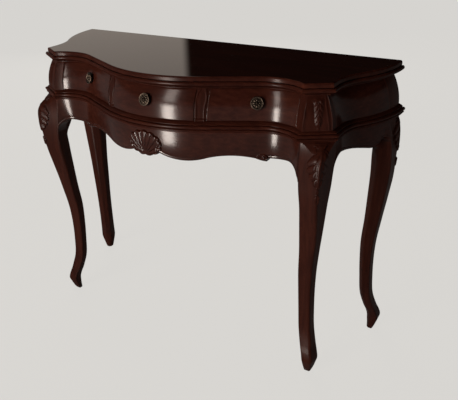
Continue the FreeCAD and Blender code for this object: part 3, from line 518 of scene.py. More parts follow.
def top_levels():
    middle = TOP_UNDER + (TABLE_HEIGHT - TOP_UNDER) * TOP_BEAD_SHARE
    fillet = -(TOP_BEAD_RADIUS + TOP_QUIRK)
    cove = middle - TOP_BEAD_RADIUS - TOP_UNDER
    start, rise, fill = TOP_COVE_SHARES
    levels = [(TOP_UNDER, -TOP_UNDER_SET)]
    for share in spread(0, 1, COVE_STEPS):
        reach = (TOP_UNDER_SET - TOP_BEAD_RADIUS) * (1 - math.sqrt(1 - share**2)) * fill
        levels.append((TOP_UNDER + cove * (start + rise * share), reach - TOP_UNDER_SET))
    levels += bead(TOP_BEAD_RADIUS, 0, middle)
    quirk = middle + TOP_BEAD_RADIUS
    quirk_top, fillet_start = [quirk + TOP_QUIRK * share for share in TOP_QUIRK_SHARES]
    levels.append((quirk + TOP_QUIRK_RISE, fillet - TOP_QUIRK_DEPTH))
    levels.append((quirk_top, fillet - TOP_QUIRK_DEPTH))
    levels.append((fillet_start, fillet))
    for angle in spread(0, math.pi / 2, ROUND_STEPS):
        levels.append((TABLE_HEIGHT - TOP_ROUND + TOP_ROUND * math.sin(angle),
                       fillet + TOP_ROUND * (math.cos(angle) - 1)))
    return levels + [(TABLE_HEIGHT, fillet - TOP_ROUND - inset) for inset in TOP_FLAT_INSETS]


def top():
    form = Form()
    rings = []
    for z, offset in top_levels():
        half = front_half(offset)
        half += side_half(offset, half[-1][1], 0)[1:]
        rings.append(lifted(whole(half), z))
    form.tube(rings)
    made = form.piece("top", MOULDING["x"], replaces=["top_board"])
    # The flat upper face gets the darker copy of the polish, with painted shade in its colour
    made.data.materials.append(TOP_POLISH_WITH_PAINTED_SHADE)
    for face in made.data.polygons:
        face.material_index = 1 if face.normal.z > TOP_FLAT_NORMAL else 0


top()

# Waist moulding: small lower bead, large bead between quirks, and a slope up to the frieze

WAIST_FILLET = 8
WAIST_TIP = 15
WAIST_BEAD_RADIUS = 4.5
WAIST_INSIDE = -44
POST_PROUD = 6
WAIST_FOOT_SHARE, SMALL_BEAD_SHARE, LARGE_BEAD_SHARE = 0.13, 0.235, 0.54
SMALL_RADIUS_SHARE, SMALL_TIP_SHARE, QUIRK_TIP_SHARE = 0.085, 0.64, 0.2
WAIST_QUIRK_DROP = 0.5
WAIST_GROOVE_RISE, WAIST_GROOVE_WIDTH, WAIST_GROOVE_DEPTH = 0.2, 0.8, 0.6
WAIST_HEAD_SET = 1
WAIST_SLOPE_STEPS, WAIST_CORNER_STEPS = 7, 6


def waist_levels():
    rise = WAIST_TIP - WAIST_FILLET
    small_middle = WAIST_BASE + WAIST_HEIGHT * SMALL_BEAD_SHARE
    middle = WAIST_BASE + WAIST_HEIGHT * LARGE_BEAD_SHARE
    levels = [(WAIST_BASE, WAIST_FILLET), (WAIST_BASE + WAIST_HEIGHT * WAIST_FOOT_SHARE, WAIST_FILLET)]
    levels += bead(WAIST_HEIGHT * SMALL_RADIUS_SHARE, WAIST_FILLET + rise * SMALL_TIP_SHARE, small_middle)
    levels.append((middle - WAIST_BEAD_RADIUS - WAIST_QUIRK_DROP, WAIST_FILLET + rise * QUIRK_TIP_SHARE))
    levels += bead(WAIST_BEAD_RADIUS, WAIST_TIP, middle)
    levels.append((levels[-1][0] + WAIST_GROOVE_RISE, WAIST_FILLET - WAIST_GROOVE_DEPTH))
    start = levels[-1][0] + WAIST_GROOVE_WIDTH
    levels.append((start, WAIST_FILLET))
    for share in spread(0, 1, WAIST_SLOPE_STEPS)[1:]:
        fall = (WAIST_FILLET + WAIST_HEAD_SET) * (1 - math.cos(share * math.pi / 2))
        levels.append((start + (FRIEZE_BASE - start) * share, WAIST_FILLET - fall))
    return levels


def waist_part(label, lines, inside, sign, axis):
    """Solid between the moulded lines and the plain inner line, which is the same at every height."""
    form = Form()
    outer = [form.row(mirrored(line, sign)) for line in lines]
    inner = [form.row(mirrored(lifted(inside, z), sign)) for z in (WAIST_BASE, FRIEZE_BASE)]
    form.skin(outer)
    form.skin(inner)
    form.skin([outer[0], inner[0]])
    form.skin([outer[-1], inner[1]])
    for end in (0, -1):
        form.cap([line[end] for line in outer] + [inner[1][end], inner[0][end]])
    form.piece(f"waist_moulding_{label}", MOULDING[axis], replaces=[f"waist_{label}"])


def waist_front_half(offset, proud=0.0):
    """Right half of the front member, which runs round the facet to the side."""
    half = front_half(offset, proud)
    return half + side_half(offset, half[-1][1], SIDE_START, WAIST_CORNER_STEPS)[1:]


def waist():
    """The front runs round both facets to the sides, and each side runs on to the back."""
    levels = waist_levels()
    front = [lifted(whole(waist_front_half(offset)), z) for z, offset in levels]
    side = [lifted(side_half(offset, SIDE_START, WAIST_BACK), z) for z, offset in levels]
    waist_part("front", front, whole(waist_front_half(WAIST_INSIDE, POST_PROUD)), 1, "x")
    for label, sign in SIDES.items():
        waist_part(label, side, side_half(WAIST_INSIDE, SIDE_START, WAIST_BACK), sign, "y")


waist()

# Frieze: bombe drawer fronts between carved stiles, and posts and panels round the sides

FRIEZE_SET = 1
BOMBE_DEPTH = 21
FRIEZE_WALL = -44
DRAWER_GAP = 1
DRAWER_HEAD_GAP = 2
DRAWER_ROUND = 1.6
DRAWER_COUNTS = (90, 30)
EDGE_SHARES = (0, 0.1, 0.3, 0.6, 1.0)


def bombe(rise):
    """Offset of the frieze's face above its base: an arc that is upright at the base."""
    radius = (FRIEZE_HEIGHT**2 + BOMBE_DEPTH**2) / (2 * BOMBE_DEPTH)
    return -FRIEZE_SET - radius + math.sqrt(radius**2 - rise**2)


def eased(start, end, count, radius):
    """Values from start to end, close together over a rounded edge at each end."""
    lead = [start + radius * share for share in EDGE_SHARES]
    tail = [end - radius * share for share in reversed(EDGE_SHARES)]
    return lead[:-1] + spread(lead[-1], tail[0], count) + tail[1:]


def rounding(value, start, end, radius):
    """How far the face falls back beside an edge that is rounded by radius."""
    inset = min(value - start, end - value)
    if inset >= radius:
        return 0.0
    return radius - math.sqrt(max(0.0, radius**2 - (radius - inset)**2))


def frieze_slab(name, span, heights, counts, radius, relief, body, replaces, finish):
    """Solid of the frieze between two reaches and two heights, its edges rounded, its face carved."""
    xs = eased(*span, counts[0], radius)
    zs = eased(*heights, counts[1], radius)
    front, back = [], []
    for z in zs:
        line = []
        for x in xs:
            fall = max(rounding(x, *span, radius), rounding(z, *heights, radius))
            offset = bombe(z - FRIEZE_BASE) - fall + relief(x, z - FRIEZE_BASE)
            line.append(at(x, front_face(x, offset)[0], z))
        front.append(line)
        back.append([at(x, front_face(x, FRIEZE_WALL)[0], z) for x in xs])
    form = Form()
    form.slab(front, back)
    return form.piece(name, finish, body=body, replaces=replaces)


def no_relief(x, rise):
    return 0.0


BAYS = {"left": (-POST_REACH, -STILE_SPAN[1]), "centre": (-STILE_SPAN[0], STILE_SPAN[0]),
        "right": (STILE_SPAN[1], POST_REACH)}
for bay, (start, end) in BAYS.items():
    frieze_slab(f"drawer_{bay}_face", (start + DRAWER_GAP, end - DRAWER_GAP),
                (FRIEZE_BASE + DRAWER_GAP, TOP_UNDER - DRAWER_HEAD_GAP), DRAWER_COUNTS, DRAWER_ROUND,
                no_relief, f"drawer_{bay}", [f"drawer_{bay}_front"], MAHOGANY["x"])

# Carving of the stiles: a vase outlined by raised fillets over a small plinth

STILE_MIDDLE = sum(STILE_SPAN) / 2
STILE_COUNTS = (54, 110)
STILE_ROUND = 0.5
STILE_FADE = 0.8
CARVED_HEIGHT = 78
CARVED_FADE = 1.5
VASE = ((0, 10.4), (24, 9.8), (36, 10.4), (46, 12.0), (55, 12.4), (64, 10.4), (72, 7.6), (78, 6.6))
VASE_HEIGHT, VASE_GROUND, VASE_EDGE = 0.6, 1.2, 1.2
FILLET_HEIGHT, FILLET_INSET, FILLET_WIDTH = 1.3, 1.0, 1.5
PLINTH_RISE, PLINTH_HEIGHT, PLINTH_HALF, PLINTH_EDGE = 5.5, 1.2, 10.5, 0.5
GROOVE_DEPTH, GROOVE_RISE, GROOVE_WIDTH = 0.9, 1.2, 0.8


def faded(rise, foot):
    """Share of the carving that is left near the frieze's base and head."""
    return smooth(rise, 0, foot) * smooth(CARVED_HEIGHT - rise, 0, CARVED_FADE)


def vase(x, rise):
    across = abs(abs(x) - STILE_MIDDLE)
    half = curve(VASE, rise)
    relief = VASE_HEIGHT * smooth(half - across, -VASE_EDGE, VASE_EDGE) - VASE_GROUND
    relief += FILLET_HEIGHT * ridge(across - half + FILLET_INSET, FILLET_WIDTH)
    plinth = smooth(PLINTH_RISE - rise, 0, 1) * smooth(PLINTH_HALF - across, -PLINTH_EDGE, PLINTH_EDGE)
    relief += PLINTH_HEIGHT * plinth
    relief -= GROOVE_DEPTH * ridge(rise - PLINTH_RISE - GROOVE_RISE, GROOVE_WIDTH)
    return relief * faded(rise, STILE_FADE)


for side, sign in SIDES.items():
    span = tuple(sorted(sign * x for x in STILE_SPAN))
    frieze_slab(f"stile_{side}_carved", span, (FRIEZE_BASE, TOP_UNDER), STILE_COUNTS, STILE_ROUND, vase,
                "carcase", [f"stile_{side}"], MAHOGANY["z"])

# Front posts: a canted face with a pilaster that spreads downward, and on it a lobed leaf, scrolls and a bud

PILASTER_SHIFT = -4
PILASTER_HALF = ((0, 31), (14, 30), (40, 26), (62, 22.5), (78, 21.5))
PILASTER_EDGE, PILASTER_EDGE_WIDTH, PILASTER_FALL = 0.8, 2.0, (1.5, 4.0)
POST_LEAF_SHIFT = 6
POST_LEAF_HALF = ((7, 2), (14, 7), (26, 9.5), (42, 10.5), (58, 12), (68, 11), (74, 6))
POST_LEAF_FOOT, POST_LEAF_FULL, POST_LEAF_HEAD, POST_LEAF_FADE = 7, 18, 74, 8
POST_LEAF_HEIGHT = 4.2
POST_FINGER_SHARES = (0.05, 0.3)
POST_FINGER_POWER, POST_DOME_POWER = 0.6, 1.2
POST_LEAF_LOBE = 13
POST_LEAF_SLANT = 0.9
POST_MIDRIB_SHARE, POST_MIDRIB_WIDTH = 0.35, 1.6
SCROLL_PLACE, SCROLL_RADIUS, SCROLL_HEIGHT = (8, 66), 6.5, 0.9
SCROLL_EDGE = (-0.6, 2.4)
SCROLL_PITCH = 1.6
SCROLL_COIL_SHARE = 0.25
POST_BUD_RISE, POST_BUD_RADIUS, POST_BUD_HEIGHT = 5.5, 3.4, 1.2
POST_FADE = 1.0


def post_leaf(gap, rise):
    """Height of the leaf on a post, by the distance from its midrib."""
    half = curve(POST_LEAF_HALF, rise)
    if gap >= half or not POST_LEAF_FOOT < rise < POST_LEAF_HEAD:
        return 0.0
    share = gap / half
    finger = abs(math.sin(math.pi * (rise / POST_LEAF_LOBE + POST_LEAF_SLANT * share)))
    lobes = 0.5 + 0.5 * finger**POST_FINGER_POWER * smooth(share, *POST_FINGER_SHARES)
    lobes += POST_MIDRIB_SHARE * ridge(gap, POST_MIDRIB_WIDTH)
    ends = smooth(rise, POST_LEAF_FOOT, POST_LEAF_FULL) * smooth(POST_LEAF_HEAD - rise, 0, POST_LEAF_FADE)
    return POST_LEAF_HEIGHT * (1 - share**2)**POST_DOME_POWER * lobes * ends


def dome(x, z, radius):
    """Height of a round boss of height 1 at a place from its middle."""
    return math.sqrt(max(0.0, 1 - (x**2 + z**2) / radius**2))


def pilaster(across, rise):
    """Relief of the canted face: across is measured from its middle."""
    across -= PILASTER_SHIFT
    beside = abs(across) - curve(PILASTER_HALF, rise)
    relief = PILASTER_EDGE * (ridge(beside, PILASTER_EDGE_WIDTH) - smooth(beside, *PILASTER_FALL))
    gap = abs(across - POST_LEAF_SHIFT)
    relief += post_leaf(gap, rise)
    out, up = gap - SCROLL_PLACE[0], rise - SCROLL_PLACE[1]
    reach = math.hypot(out, up)
    coil = 1 - SCROLL_COIL_SHARE + SCROLL_COIL_SHARE * math.cos(reach * SCROLL_PITCH - math.atan2(up, out))
    relief += SCROLL_HEIGHT * smooth(SCROLL_RADIUS - reach, *SCROLL_EDGE) * coil
    relief += POST_BUD_HEIGHT * dome(gap, rise - POST_BUD_RISE, POST_BUD_RADIUS)
    return relief * faded(rise, POST_FADE)


POST_HOLLOW_STEPS, POST_FACET_STEPS, POST_SIDE_STEPS = 8, 96, 5
PANEL_STEPS, BACK_POST_STEPS = 44, 14
POST_EDGE_SHARE = 0.03
POST_RISES = spread(0, FRIEZE_HEIGHT, 118)
PANEL_RISES = spread(0, FRIEZE_HEIGHT, 24)


def post_ring(rise):
    """Hollow, canted face and side of a front post at a height, and its inner corner."""
    offset = bombe(rise)
    inner, outer = facet_ends(offset, POST_PROUD)
    hollow = HOLLOW_RADIUS - offset
    ring = [(x, HOLLOW_CENTRE[1] - math.sqrt(hollow**2 - (x - HOLLOW_CENTRE[0])**2))
            for x in spread(POST_REACH, inner[0], POST_HOLLOW_STEPS)[:-1]]
    length = math.hypot(outer[0] - inner[0], outer[1] - inner[1])
    for share in spread(0, 1, POST_FACET_STEPS):
        edge_fade = smooth(share, 0, POST_EDGE_SHARE) * smooth(1 - share, 0, POST_EDGE_SHARE)
        lift = pilaster((share - 0.5) * length, rise) * edge_fade
        ring.append([inner[axis] + (outer[axis] - inner[axis]) * share + FACET_NORMAL[axis] * lift
                     for axis in (0, 1)])
    ring += side_half(offset, outer[1], POST_DEPTH, POST_SIDE_STEPS)[1:]
    return ring + [(POST_REACH, POST_DEPTH)]


def panel_ring(rise):
    outer, inner = [side_half(offset, POST_DEPTH, BACK_POST_SPAN[1], PANEL_STEPS)
                    for offset in (bombe(rise), FRIEZE_WALL)]
    return outer + inner[::-1]


def back_post_ring(rise):
    ring = side_half(bombe(rise), *reversed(BACK_POST_SPAN), BACK_POST_STEPS)
    return ring + [(BACK_POST_REACH, depth) for depth in BACK_POST_SPAN]


FRIEZE_RINGS = {"post_front": (post_ring, POST_RISES, "z"), "side_panel": (panel_ring, PANEL_RISES, "y"),
                "post_back": (back_post_ring, PANEL_RISES, "z")}
for side, sign in SIDES.items():
    for label, (ring, rises, axis) in FRIEZE_RINGS.items():
        form = Form()
        form.tube([mirrored(lifted(ring(rise), FRIEZE_BASE + rise), sign) for rise in rises])
        form.piece(f"{label}_{side}_shaped", MAHOGANY[axis], replaces=[f"{label}_{side}"])

# Aprons: swelled faces, scalloped lower edges with a rounded lip and an incised line, ears at the legs

APRON_SET = 6
APRON_SWELL = 2.5
APRON_HEIGHT = 100
APRON_WALL = -14
APRON_LIP = 2.6
FRONT_HEIGHT, SIDE_HEIGHT = 60, 40
FRONT_LEVEL = WAIST_BASE - FRONT_HEIGHT
FRONT_DROP = 14
SIDE_LEVEL = WAIST_BASE - SIDE_HEIGHT
SIDE_DROP = 17
EAR_RADIUS = 36
BACK_EAR_RADIUS = 20
EAR_BLEND = 46
KNEE_START, KNEE_FLUSH = 530, 684
FRONT_EDGE_SHARES = (
    ((0, 0), None),
    ((0.09, 0), None),
    ((0.40, 0.5), (0.21, 1)),
    ((0.68, 0.5), (0.54, 0)),
    ((0.745, 1), (0.71, 0.85)),
    ((0.755, 0.35), None),
)
SIDE_EDGE_SHARES = (((0.15, 0.2), None), ((0.33, 1), (0.21, 0.85)))
SIDE_EDGE_END = (0.58, 0.35)
LINE_STEPS, ARC_STEPS, EAR_STEPS = 9, 24, 16
SIDE_LINE_STEPS, SIDE_ARC_STEPS = 4, 14


def apron_offset(z):
    rise = 1 - (WAIST_BASE - z) / APRON_HEIGHT
    return APRON_SET + APRON_SWELL * (math.sin(math.pi * rise) - 2 * (1 - rise)**2)


def through(first, way, last):
    """Centre and radius of the circle through three points."""
    (ax, ay), (bx, by), (cx, cy) = first, way, last
    twice = 2 * (ax * (by - cy) + bx * (cy - ay) + cx * (ay - by))
    a2, b2, c2 = ax**2 + ay**2, bx**2 + by**2, cx**2 + cy**2
    x = (a2 * (by - cy) + b2 * (cy - ay) + c2 * (ay - by)) / twice
    y = (a2 * (cx - bx) + b2 * (ax - cx) + c2 * (bx - ax)) / twice
    return (x, y), math.hypot(ax - x, ay - y)


def edge_points(start, end, way, count):
    """Points along an arc through a way point, or along a line where there is none."""
    if way is None:
        return straight(start, end, count)
    (x, y), radius = through(start, way, end)
    sign = 1 if way[1] > y else -1
    return [(place, y + sign * math.sqrt(max(0.0, radius**2 - (place - x)**2)))
            for place in spread(start[0], end[0], count)]


def ear_points(start, end, level):
    """Quarter-round ear that leaves the level at start and runs down beside the leg at end."""
    radius = abs(end - start)
    toward = math.copysign(1, end - start)
    return [(start + toward * radius * math.sin(a), level - radius + radius * math.cos(a))
            for a in spread(0, math.pi / 2, EAR_STEPS)]


def front_edge():
    """Right half of the front apron's lower edge."""
    spots = [((x * LEG_REACH, FRONT_LEVEL - fall * FRONT_DROP),
              way and (way[0] * LEG_REACH, FRONT_LEVEL - way[1] * FRONT_DROP))
             for (x, fall), way in FRONT_EDGE_SHARES]
    spots.append(((LEG_REACH - EAR_RADIUS, FRONT_LEVEL), None))
    points = [spots[0][0]]
    for (start, unused), (end, way) in zip(spots, spots[1:]):
        points += edge_points(start, end, way, ARC_STEPS if way else LINE_STEPS)[1:]
    return points + ear_points(LEG_REACH - EAR_RADIUS, LEG_REACH, FRONT_LEVEL)[1:]


def side_edge():
    """Lower edge of the right apron, from the back leg to the front leg."""
    back, front = SIDE_APRON_SPAN

    def spot(share, fall):
        return (back + share * (front - back), SIDE_LEVEL - fall * SIDE_DROP)

    points = ear_points(back + BACK_EAR_RADIUS, back, SIDE_LEVEL)[::-1]
    (first, unused), (second, way) = SIDE_EDGE_SHARES
    points += edge_points(points[-1], spot(*first), None, SIDE_LINE_STEPS)[1:]
    points += edge_points(spot(*first), spot(*second), spot(*way), SIDE_ARC_STEPS)[1:]
    ear_start = (front - EAR_RADIUS, SIDE_LEVEL)
    points += edge_points(spot(*second), ear_start, spot(*SIDE_EDGE_END), ARC_STEPS)[1:]
    return points + ear_points(front - EAR_RADIUS, front, SIDE_LEVEL)[1:]


def knee_swell(z):
    """Share of the knee's fullness that is left beside the apron at a height."""
    return 1 - smooth(z, KNEE_START, KNEE_FLUSH)


APRON_ROW_POWER = 1.5
APRON_ROWS = spread(0, 1, 30)
LIP_SHARES = (0.0, 0.12, 0.3, 0.55, 0.8, 1.0)
INCISED_RISE = 7.5
INCISED_DEPTH = 0.9
INCISED_WIDTH = 1.1


def apron_slab(name, edge, place, finish, replaces):
    """Solid of an apron over its lower edge; place gives a point from the place along it, offset and z."""
    front, back = [], []
    for along, bottom in edge:
        heights = [bottom + APRON_LIP * (1 - share) for share in reversed(LIP_SHARES)]
        start = bottom + APRON_LIP
        heights += [start + (WAIST_BASE - start) * share**APRON_ROW_POWER for share in APRON_ROWS[1:]]
        line = []
        for z in heights:
            fall = rounding(z, bottom, WAIST_BASE + APRON_LIP, APRON_LIP)
            line_cut = INCISED_DEPTH * ridge(z - bottom - INCISED_RISE, INCISED_WIDTH)
            line.append(place(along, apron_offset(z) - fall - line_cut, z))
        front.append(line)
        back.append([place(along, APRON_WALL, z) for z in heights])
    form = Form()
    form.slab(front, back)
    form.piece(name, finish, replaces=replaces)


def front_apron_place(x, offset, z):
    extra = 0.0
    if offset > APRON_WALL:
        extra = leg_gap("front", z) * smooth(abs(x), LEG_REACH - EAR_BLEND, LEG_REACH)
    return at(x, front_face(x, offset)[0] + extra, z)


def side_apron_place(depth, offset, z):
    extra = 0.0
    if offset > APRON_WALL:
        back, front = SIDE_APRON_SPAN
        extra = leg_gap("side", z) * smooth(depth, front - EAR_BLEND, front)
        extra += leg_gap("back", z) * smooth(-depth, -back - EAR_BLEND / 2, -back)
    return at(side_reach(depth, offset) + extra, depth, z)


# Cabriole legs: places are taken outward from the inner corner of the leg's block

LEG_SHARES = (
    (0, 0.26, 0.28),
    (0.012, 0.40, 0.35),
    (0.030, 0.55, 0.43),
    (0.052, 0.70, 0.52),
    (0.076, 0.83, 0.60),
    (0.107, 0.68, 0.60),
    (0.142, 0.40, 0.59),
    (0.22, -0.03, 0.575),
    (0.32, -0.18, 0.58),
    (0.42, -0.22, 0.61),
    (0.52, -0.13, 0.665),
    (0.63, 0.15, 0.73),
    (0.745, 0.47, 0.84),
    (0.86, 0.77, 0.95),
    (0.94, 0.92, 1.03),
)
KNEE_DROP = 76
KNEE_HEIGHT = WAIST_BASE - KNEE_DROP
KNEE_SWING = 37
KNEE_SIDE = 59
ARRIS_ROUND = 8
ARRIS_LIMIT_SHARE = 0.26
BEVEL_MARGIN = 1.12
INNER_CHAMFER_SHARE = 0.36
BLOCK_CHAMFER = 1
SHOULDER_POWER = 3
SHOULDER_STEPS = 7
FEET = {"front": (39, 37), "back": (31, 33)}
DIAGONAL = math.sqrt(0.5)
BACK_LEG_BACK = 24


def leg_top(kind):
    """Outer corner of the leg's top and the two runs of its bevel."""
    if kind == "back":
        corner = (HALF_WIDTH - BACK_LEG_REACH + APRON_SET, BACK_LEG_DEPTH - BACK_LEG_BACK)
        return corner, (ARRIS_ROUND, ARRIS_ROUND)
    outer = facet_ends(APRON_SET, 0)[1]
    across, along = outer[0] - LEG_REACH, outer[1] - LEG_DEPTH
    run = across - ARRIS_ROUND / 2
    return (across, along + run * math.tan(FACET_TURN)), (run, run * math.tan(FACET_TURN))


def leg_tables(kind):
    """Smooth lines up the leg: outer corner, inner corner, bevel and inner chamfer over the height."""
    foot = FEET[kind]
    top, bevel = leg_top(kind)
    rows = []
    for rise, swing, side in LEG_SHARES:
        reach = swing * KNEE_SWING * DIAGONAL
        corner = (foot[0] + reach, foot[1] + reach)
        width = side * KNEE_SIDE
        arris = min(ARRIS_ROUND, width * ARRIS_LIMIT_SHARE) * BEVEL_MARGIN
        rows.append((rise * KNEE_HEIGHT, *corner, corner[0] - width, corner[1] - width, arris, arris,
                     width * INNER_CHAMFER_SHARE))
    knee = [value + KNEE_SWING * DIAGONAL for value in foot]
    arris = ARRIS_ROUND * BEVEL_MARGIN
    for share in spread(0, 1, SHOULDER_STEPS):
        z = KNEE_HEIGHT + share * (WAIST_BASE - KNEE_HEIGHT)
        corner = [knee[axis] + share**SHOULDER_POWER * (top[axis] - knee[axis]) for axis in (0, 1)]
        eased = [arris + share**SHOULDER_POWER * (max(bevel[axis], arris) - arris) for axis in (0, 1)]
        rows.append((z, *corner, 0.0, 0.0, *eased, BLOCK_CHAMFER))
    return [[(row[0], row[column]) for row in rows] for column in range(1, len(rows[0]))]


LEG_TABLES = {kind: leg_tables(kind) for kind in FEET}


def leg_face(kind, z):
    """Where the apron's plain face meets the leg: along for the front, across for the side and back."""
    offset = apron_offset(max(z, WAIST_BASE - APRON_HEIGHT))
    if kind == "front":
        return front_face(LEG_REACH, offset)[0] - LEG_DEPTH
    if kind == "side":
        return side_reach(LEG_DEPTH, offset) - LEG_REACH
    return side_reach(BACK_LEG_DEPTH, offset) - BACK_LEG_REACH


def leg_gap(kind, z):
    """How far the leg's own corner stands out from the apron's plain face beside it."""
    table = LEG_TABLES["back" if kind == "back" else "front"][1 if kind == "front" else 0]
    return (curve(table, z) - leg_face(kind, z)) * knee_swell(z)


RIDGE_SHIFT = Vector((-6.0, 9.5))
RIDGE_RISE = (400, 540)
RIDGE_FALL = (615, 686)
TOE_SHIFT = Vector((-5.0, 2.5))
TOE_RISE = (0, 40)
TOE_FALL = (48, 112)
FACE_STEPS, SLOPE_STEPS, ARRIS_STEPS, INNER_STEPS, CORNER_STEPS = 40, 14, 9, 6, 6
TOP_FULLNESS = 0.3
CORNER_EASE_SHARE = 0.14
EASE_START, EASE_CLEARANCE = 490, 2
EASE_FALL = (EASE_START, FRONT_LEVEL - EAR_RADIUS - EASE_CLEARANCE)
LEAST_EASE = 0.3
LEAST_FACE = 1
BEVEL_SPREAD = 6


def leg_ring(kind, z):
    """Points round the shown faces of the leg at a height, their distances from the arris, and the rest."""
    out_x, out_y, in_x, in_y, bevel_x, bevel_y, chamfer = [curve(table, z) for table in LEG_TABLES[kind]]
    outer = Vector((out_x, out_y))
    inner = Vector((in_x, in_y))
    front_corner = Vector((in_x, out_y))
    side_corner = Vector((out_x, in_y))
    if kind == "front":
        front_corner.y = leg_face("front", z) + leg_gap("front", z)
        side_corner.x = leg_face("side", z) + leg_gap("side", z)
        outer += RIDGE_SHIFT * smooth(z, *RIDGE_RISE) * (1 - smooth(z, *RIDGE_FALL))
        outer += TOE_SHIFT * smooth(z, *TOE_RISE) * (1 - smooth(z, *TOE_FALL))
    else:
        side_corner.x = leg_face("back", z) + leg_gap("back", z)
    width = out_x - in_x
    arris = min(ARRIS_ROUND, ARRIS_LIMIT_SHARE * width)
    ease = min(ARRIS_ROUND, CORNER_EASE_SHARE * width) * (1 - smooth(z, *EASE_FALL)) + LEAST_EASE
    toward_front = (front_corner - outer).normalized()
    toward_side = (side_corner - outer).normalized()
    bevel_start = outer + toward_front * min(bevel_x, (front_corner - outer).length - ease - LEAST_FACE)
    bevel_end = outer + toward_side * min(bevel_y, (side_corner - outer).length - ease - LEAST_FACE)
    chord = (bevel_start + bevel_end) / 2
    widening = smooth(max(bevel_x, bevel_y), ARRIS_ROUND * BEVEL_MARGIN, ARRIS_ROUND * BEVEL_SPREAD)
    fullness = 1 - (1 - TOP_FULLNESS) * widening
    apex = chord + (outer - chord) * fullness
    round_start = apex + (bevel_start - apex).normalized() * arris
    round_end = apex + (bevel_end - apex).normalized() * arris
    front_in = front_corner + Vector((0, -ease))
    front_out = front_corner - toward_front * ease
    side_out = side_corner - toward_side * ease
    side_in = side_corner + Vector((-ease, 0))
    path = bent(front_in, front_corner, front_out, CORNER_STEPS)
    path += joined(front_out, (bevel_start, FACE_STEPS), (round_start, SLOPE_STEPS))
    path += bent(round_start, apex, round_end, ARRIS_STEPS)[1:]
    path += joined(round_end, (bevel_end, SLOPE_STEPS), (side_out, FACE_STEPS))
    path += bent(side_out, side_corner, side_in, CORNER_STEPS)[1:]
    lengths = [0.0]
    for here, ahead in zip(path, path[1:]):
        lengths.append(lengths[-1] + (ahead - here).length)
    middle = lengths[CORNER_STEPS + FACE_STEPS + SLOPE_STEPS - 3 + ARRIS_STEPS // 2]
    distances = [length - middle for length in lengths]
    turns = (inner + Vector((chamfer, 0)), inner + Vector((0, chamfer)), front_in)
    hidden = joined(side_in, *((spot, INNER_STEPS) for spot in turns))[:-1]
    return path, distances, hidden


def joined(start, *stops):
    """Points on straight runs from start to each (end, count) in turn, without the start itself."""
    points = []
    for end, count in stops:
        points += [start.lerp(end, share) for share in spread(0, 1, count)[1:]]
        start = end
    return points


def bent(start, pull, end, count):
    """Curve from start to end, drawn towards a third point."""
    return [start.lerp(pull, share).lerp(pull.lerp(end, share), share) for share in spread(0, 1, count)]


# Knee carving: an acanthus leaf over the arris, with a collar above it and a husk below

LEAF_TOP, LEAF_TIP = 656, 566
LEAF_LOBES = 4.5
LEAF_SLANT = 1.1
LEAF_REACH = 35
LEAF_HALF = ((0, 0.30), (0.12, 0.66), (0.3, 0.94), (0.48, 1.0), (0.66, 0.84), (0.84, 0.5), (1, 0.06))
LEAF_EDGE = 1.6
LEAF_LOBE_SHARE, LEAF_HEAD_SHARE, LEAF_TIP_SHARE = 0.26, 0.05, 0.08
FINGER_SHARES, FINGER_FALL_SHARE = (0.08, 0.35), 0.35
LOBE_POWER, FINGER_POWER = 0.6, 0.5
LEAF_HEIGHT, FINGER_HEIGHT, MIDRIB_HEIGHT, MIDRIB_WIDTH = 1.2, 4.0, 2.4, 2.6
LEAF_SINK = {"front": 0.0, "back": 4.6}
COLLAR_TOP, COLLAR_TIP = 664, 640
COLLAR_REACH, COLLAR_HEIGHT, COLLAR_EDGE, COLLAR_VEIN = 16, 4.4, 3.4, 1.3
COLLAR_WAVES, COLLAR_POWER = 9, 0.7
COLLAR_WAVE_SHARE, COLLAR_VEIN_SHARE = 0.15, 0.35
HUSK_TOP, HUSK_TIP = 552, 522
HUSK_REACH, HUSK_HEIGHT, HUSK_EDGE, HUSK_VEIN = 8.5, 3.8, 3.0, 0.9
HUSK_POWER, HUSK_VEIN_SHARE = 0.75, 0.4
GROUND_LEAD, GROUND_LAP = 40, 10
GROUND_RISE = (HUSK_TIP - GROUND_LEAD, LEAF_TIP + GROUND_LAP)
GROUND_MARGIN, GROUND_FADE = 22, 6


def main_leaf(gap, z):
    """Acanthus leaf: height over the ground, by the distance from its midrib on the arris."""
    share = (LEAF_TOP - z) / (LEAF_TOP - LEAF_TIP)
    if not 0 < share < 1:
        return 0.0
    finger = abs(math.sin(math.pi * (LEAF_LOBES * share - LEAF_SLANT * gap / LEAF_REACH)))
    half = LEAF_REACH * curve(LEAF_HALF, share) * (1 - LEAF_LOBE_SHARE * (1 - finger**LOBE_POWER))
    inside = smooth(half - gap, 0, LEAF_EDGE) * smooth(share, 0, LEAF_HEAD_SHARE)
    inside *= smooth(1 - share, 0, LEAF_TIP_SHARE)
    across = min(1.0, gap / max(half, 1.0))
    height = FINGER_HEIGHT * finger**FINGER_POWER * smooth(across, *FINGER_SHARES)
    height = LEAF_HEIGHT + height * (1 - FINGER_FALL_SHARE * across)
    return (height + MIDRIB_HEIGHT * ridge(gap, MIDRIB_WIDTH)) * inside


def collar_leaf(gap, z):
    """Small leaf that hangs from the waist over the main one."""
    share = (COLLAR_TOP - z) / (COLLAR_TOP - COLLAR_TIP)
    if not 0 < share < 1:
        return 0.0
    wave = 1 - COLLAR_WAVE_SHARE * (1 - math.cos(COLLAR_WAVES * share))
    half = COLLAR_REACH * (1 - share)**COLLAR_POWER * wave
    veined = 1 - COLLAR_VEIN_SHARE * ridge(gap - half / 2, COLLAR_VEIN)
    return COLLAR_HEIGHT * smooth(half - gap, 0, COLLAR_EDGE) * veined * smooth(share, 0, LEAF_HEAD_SHARE)


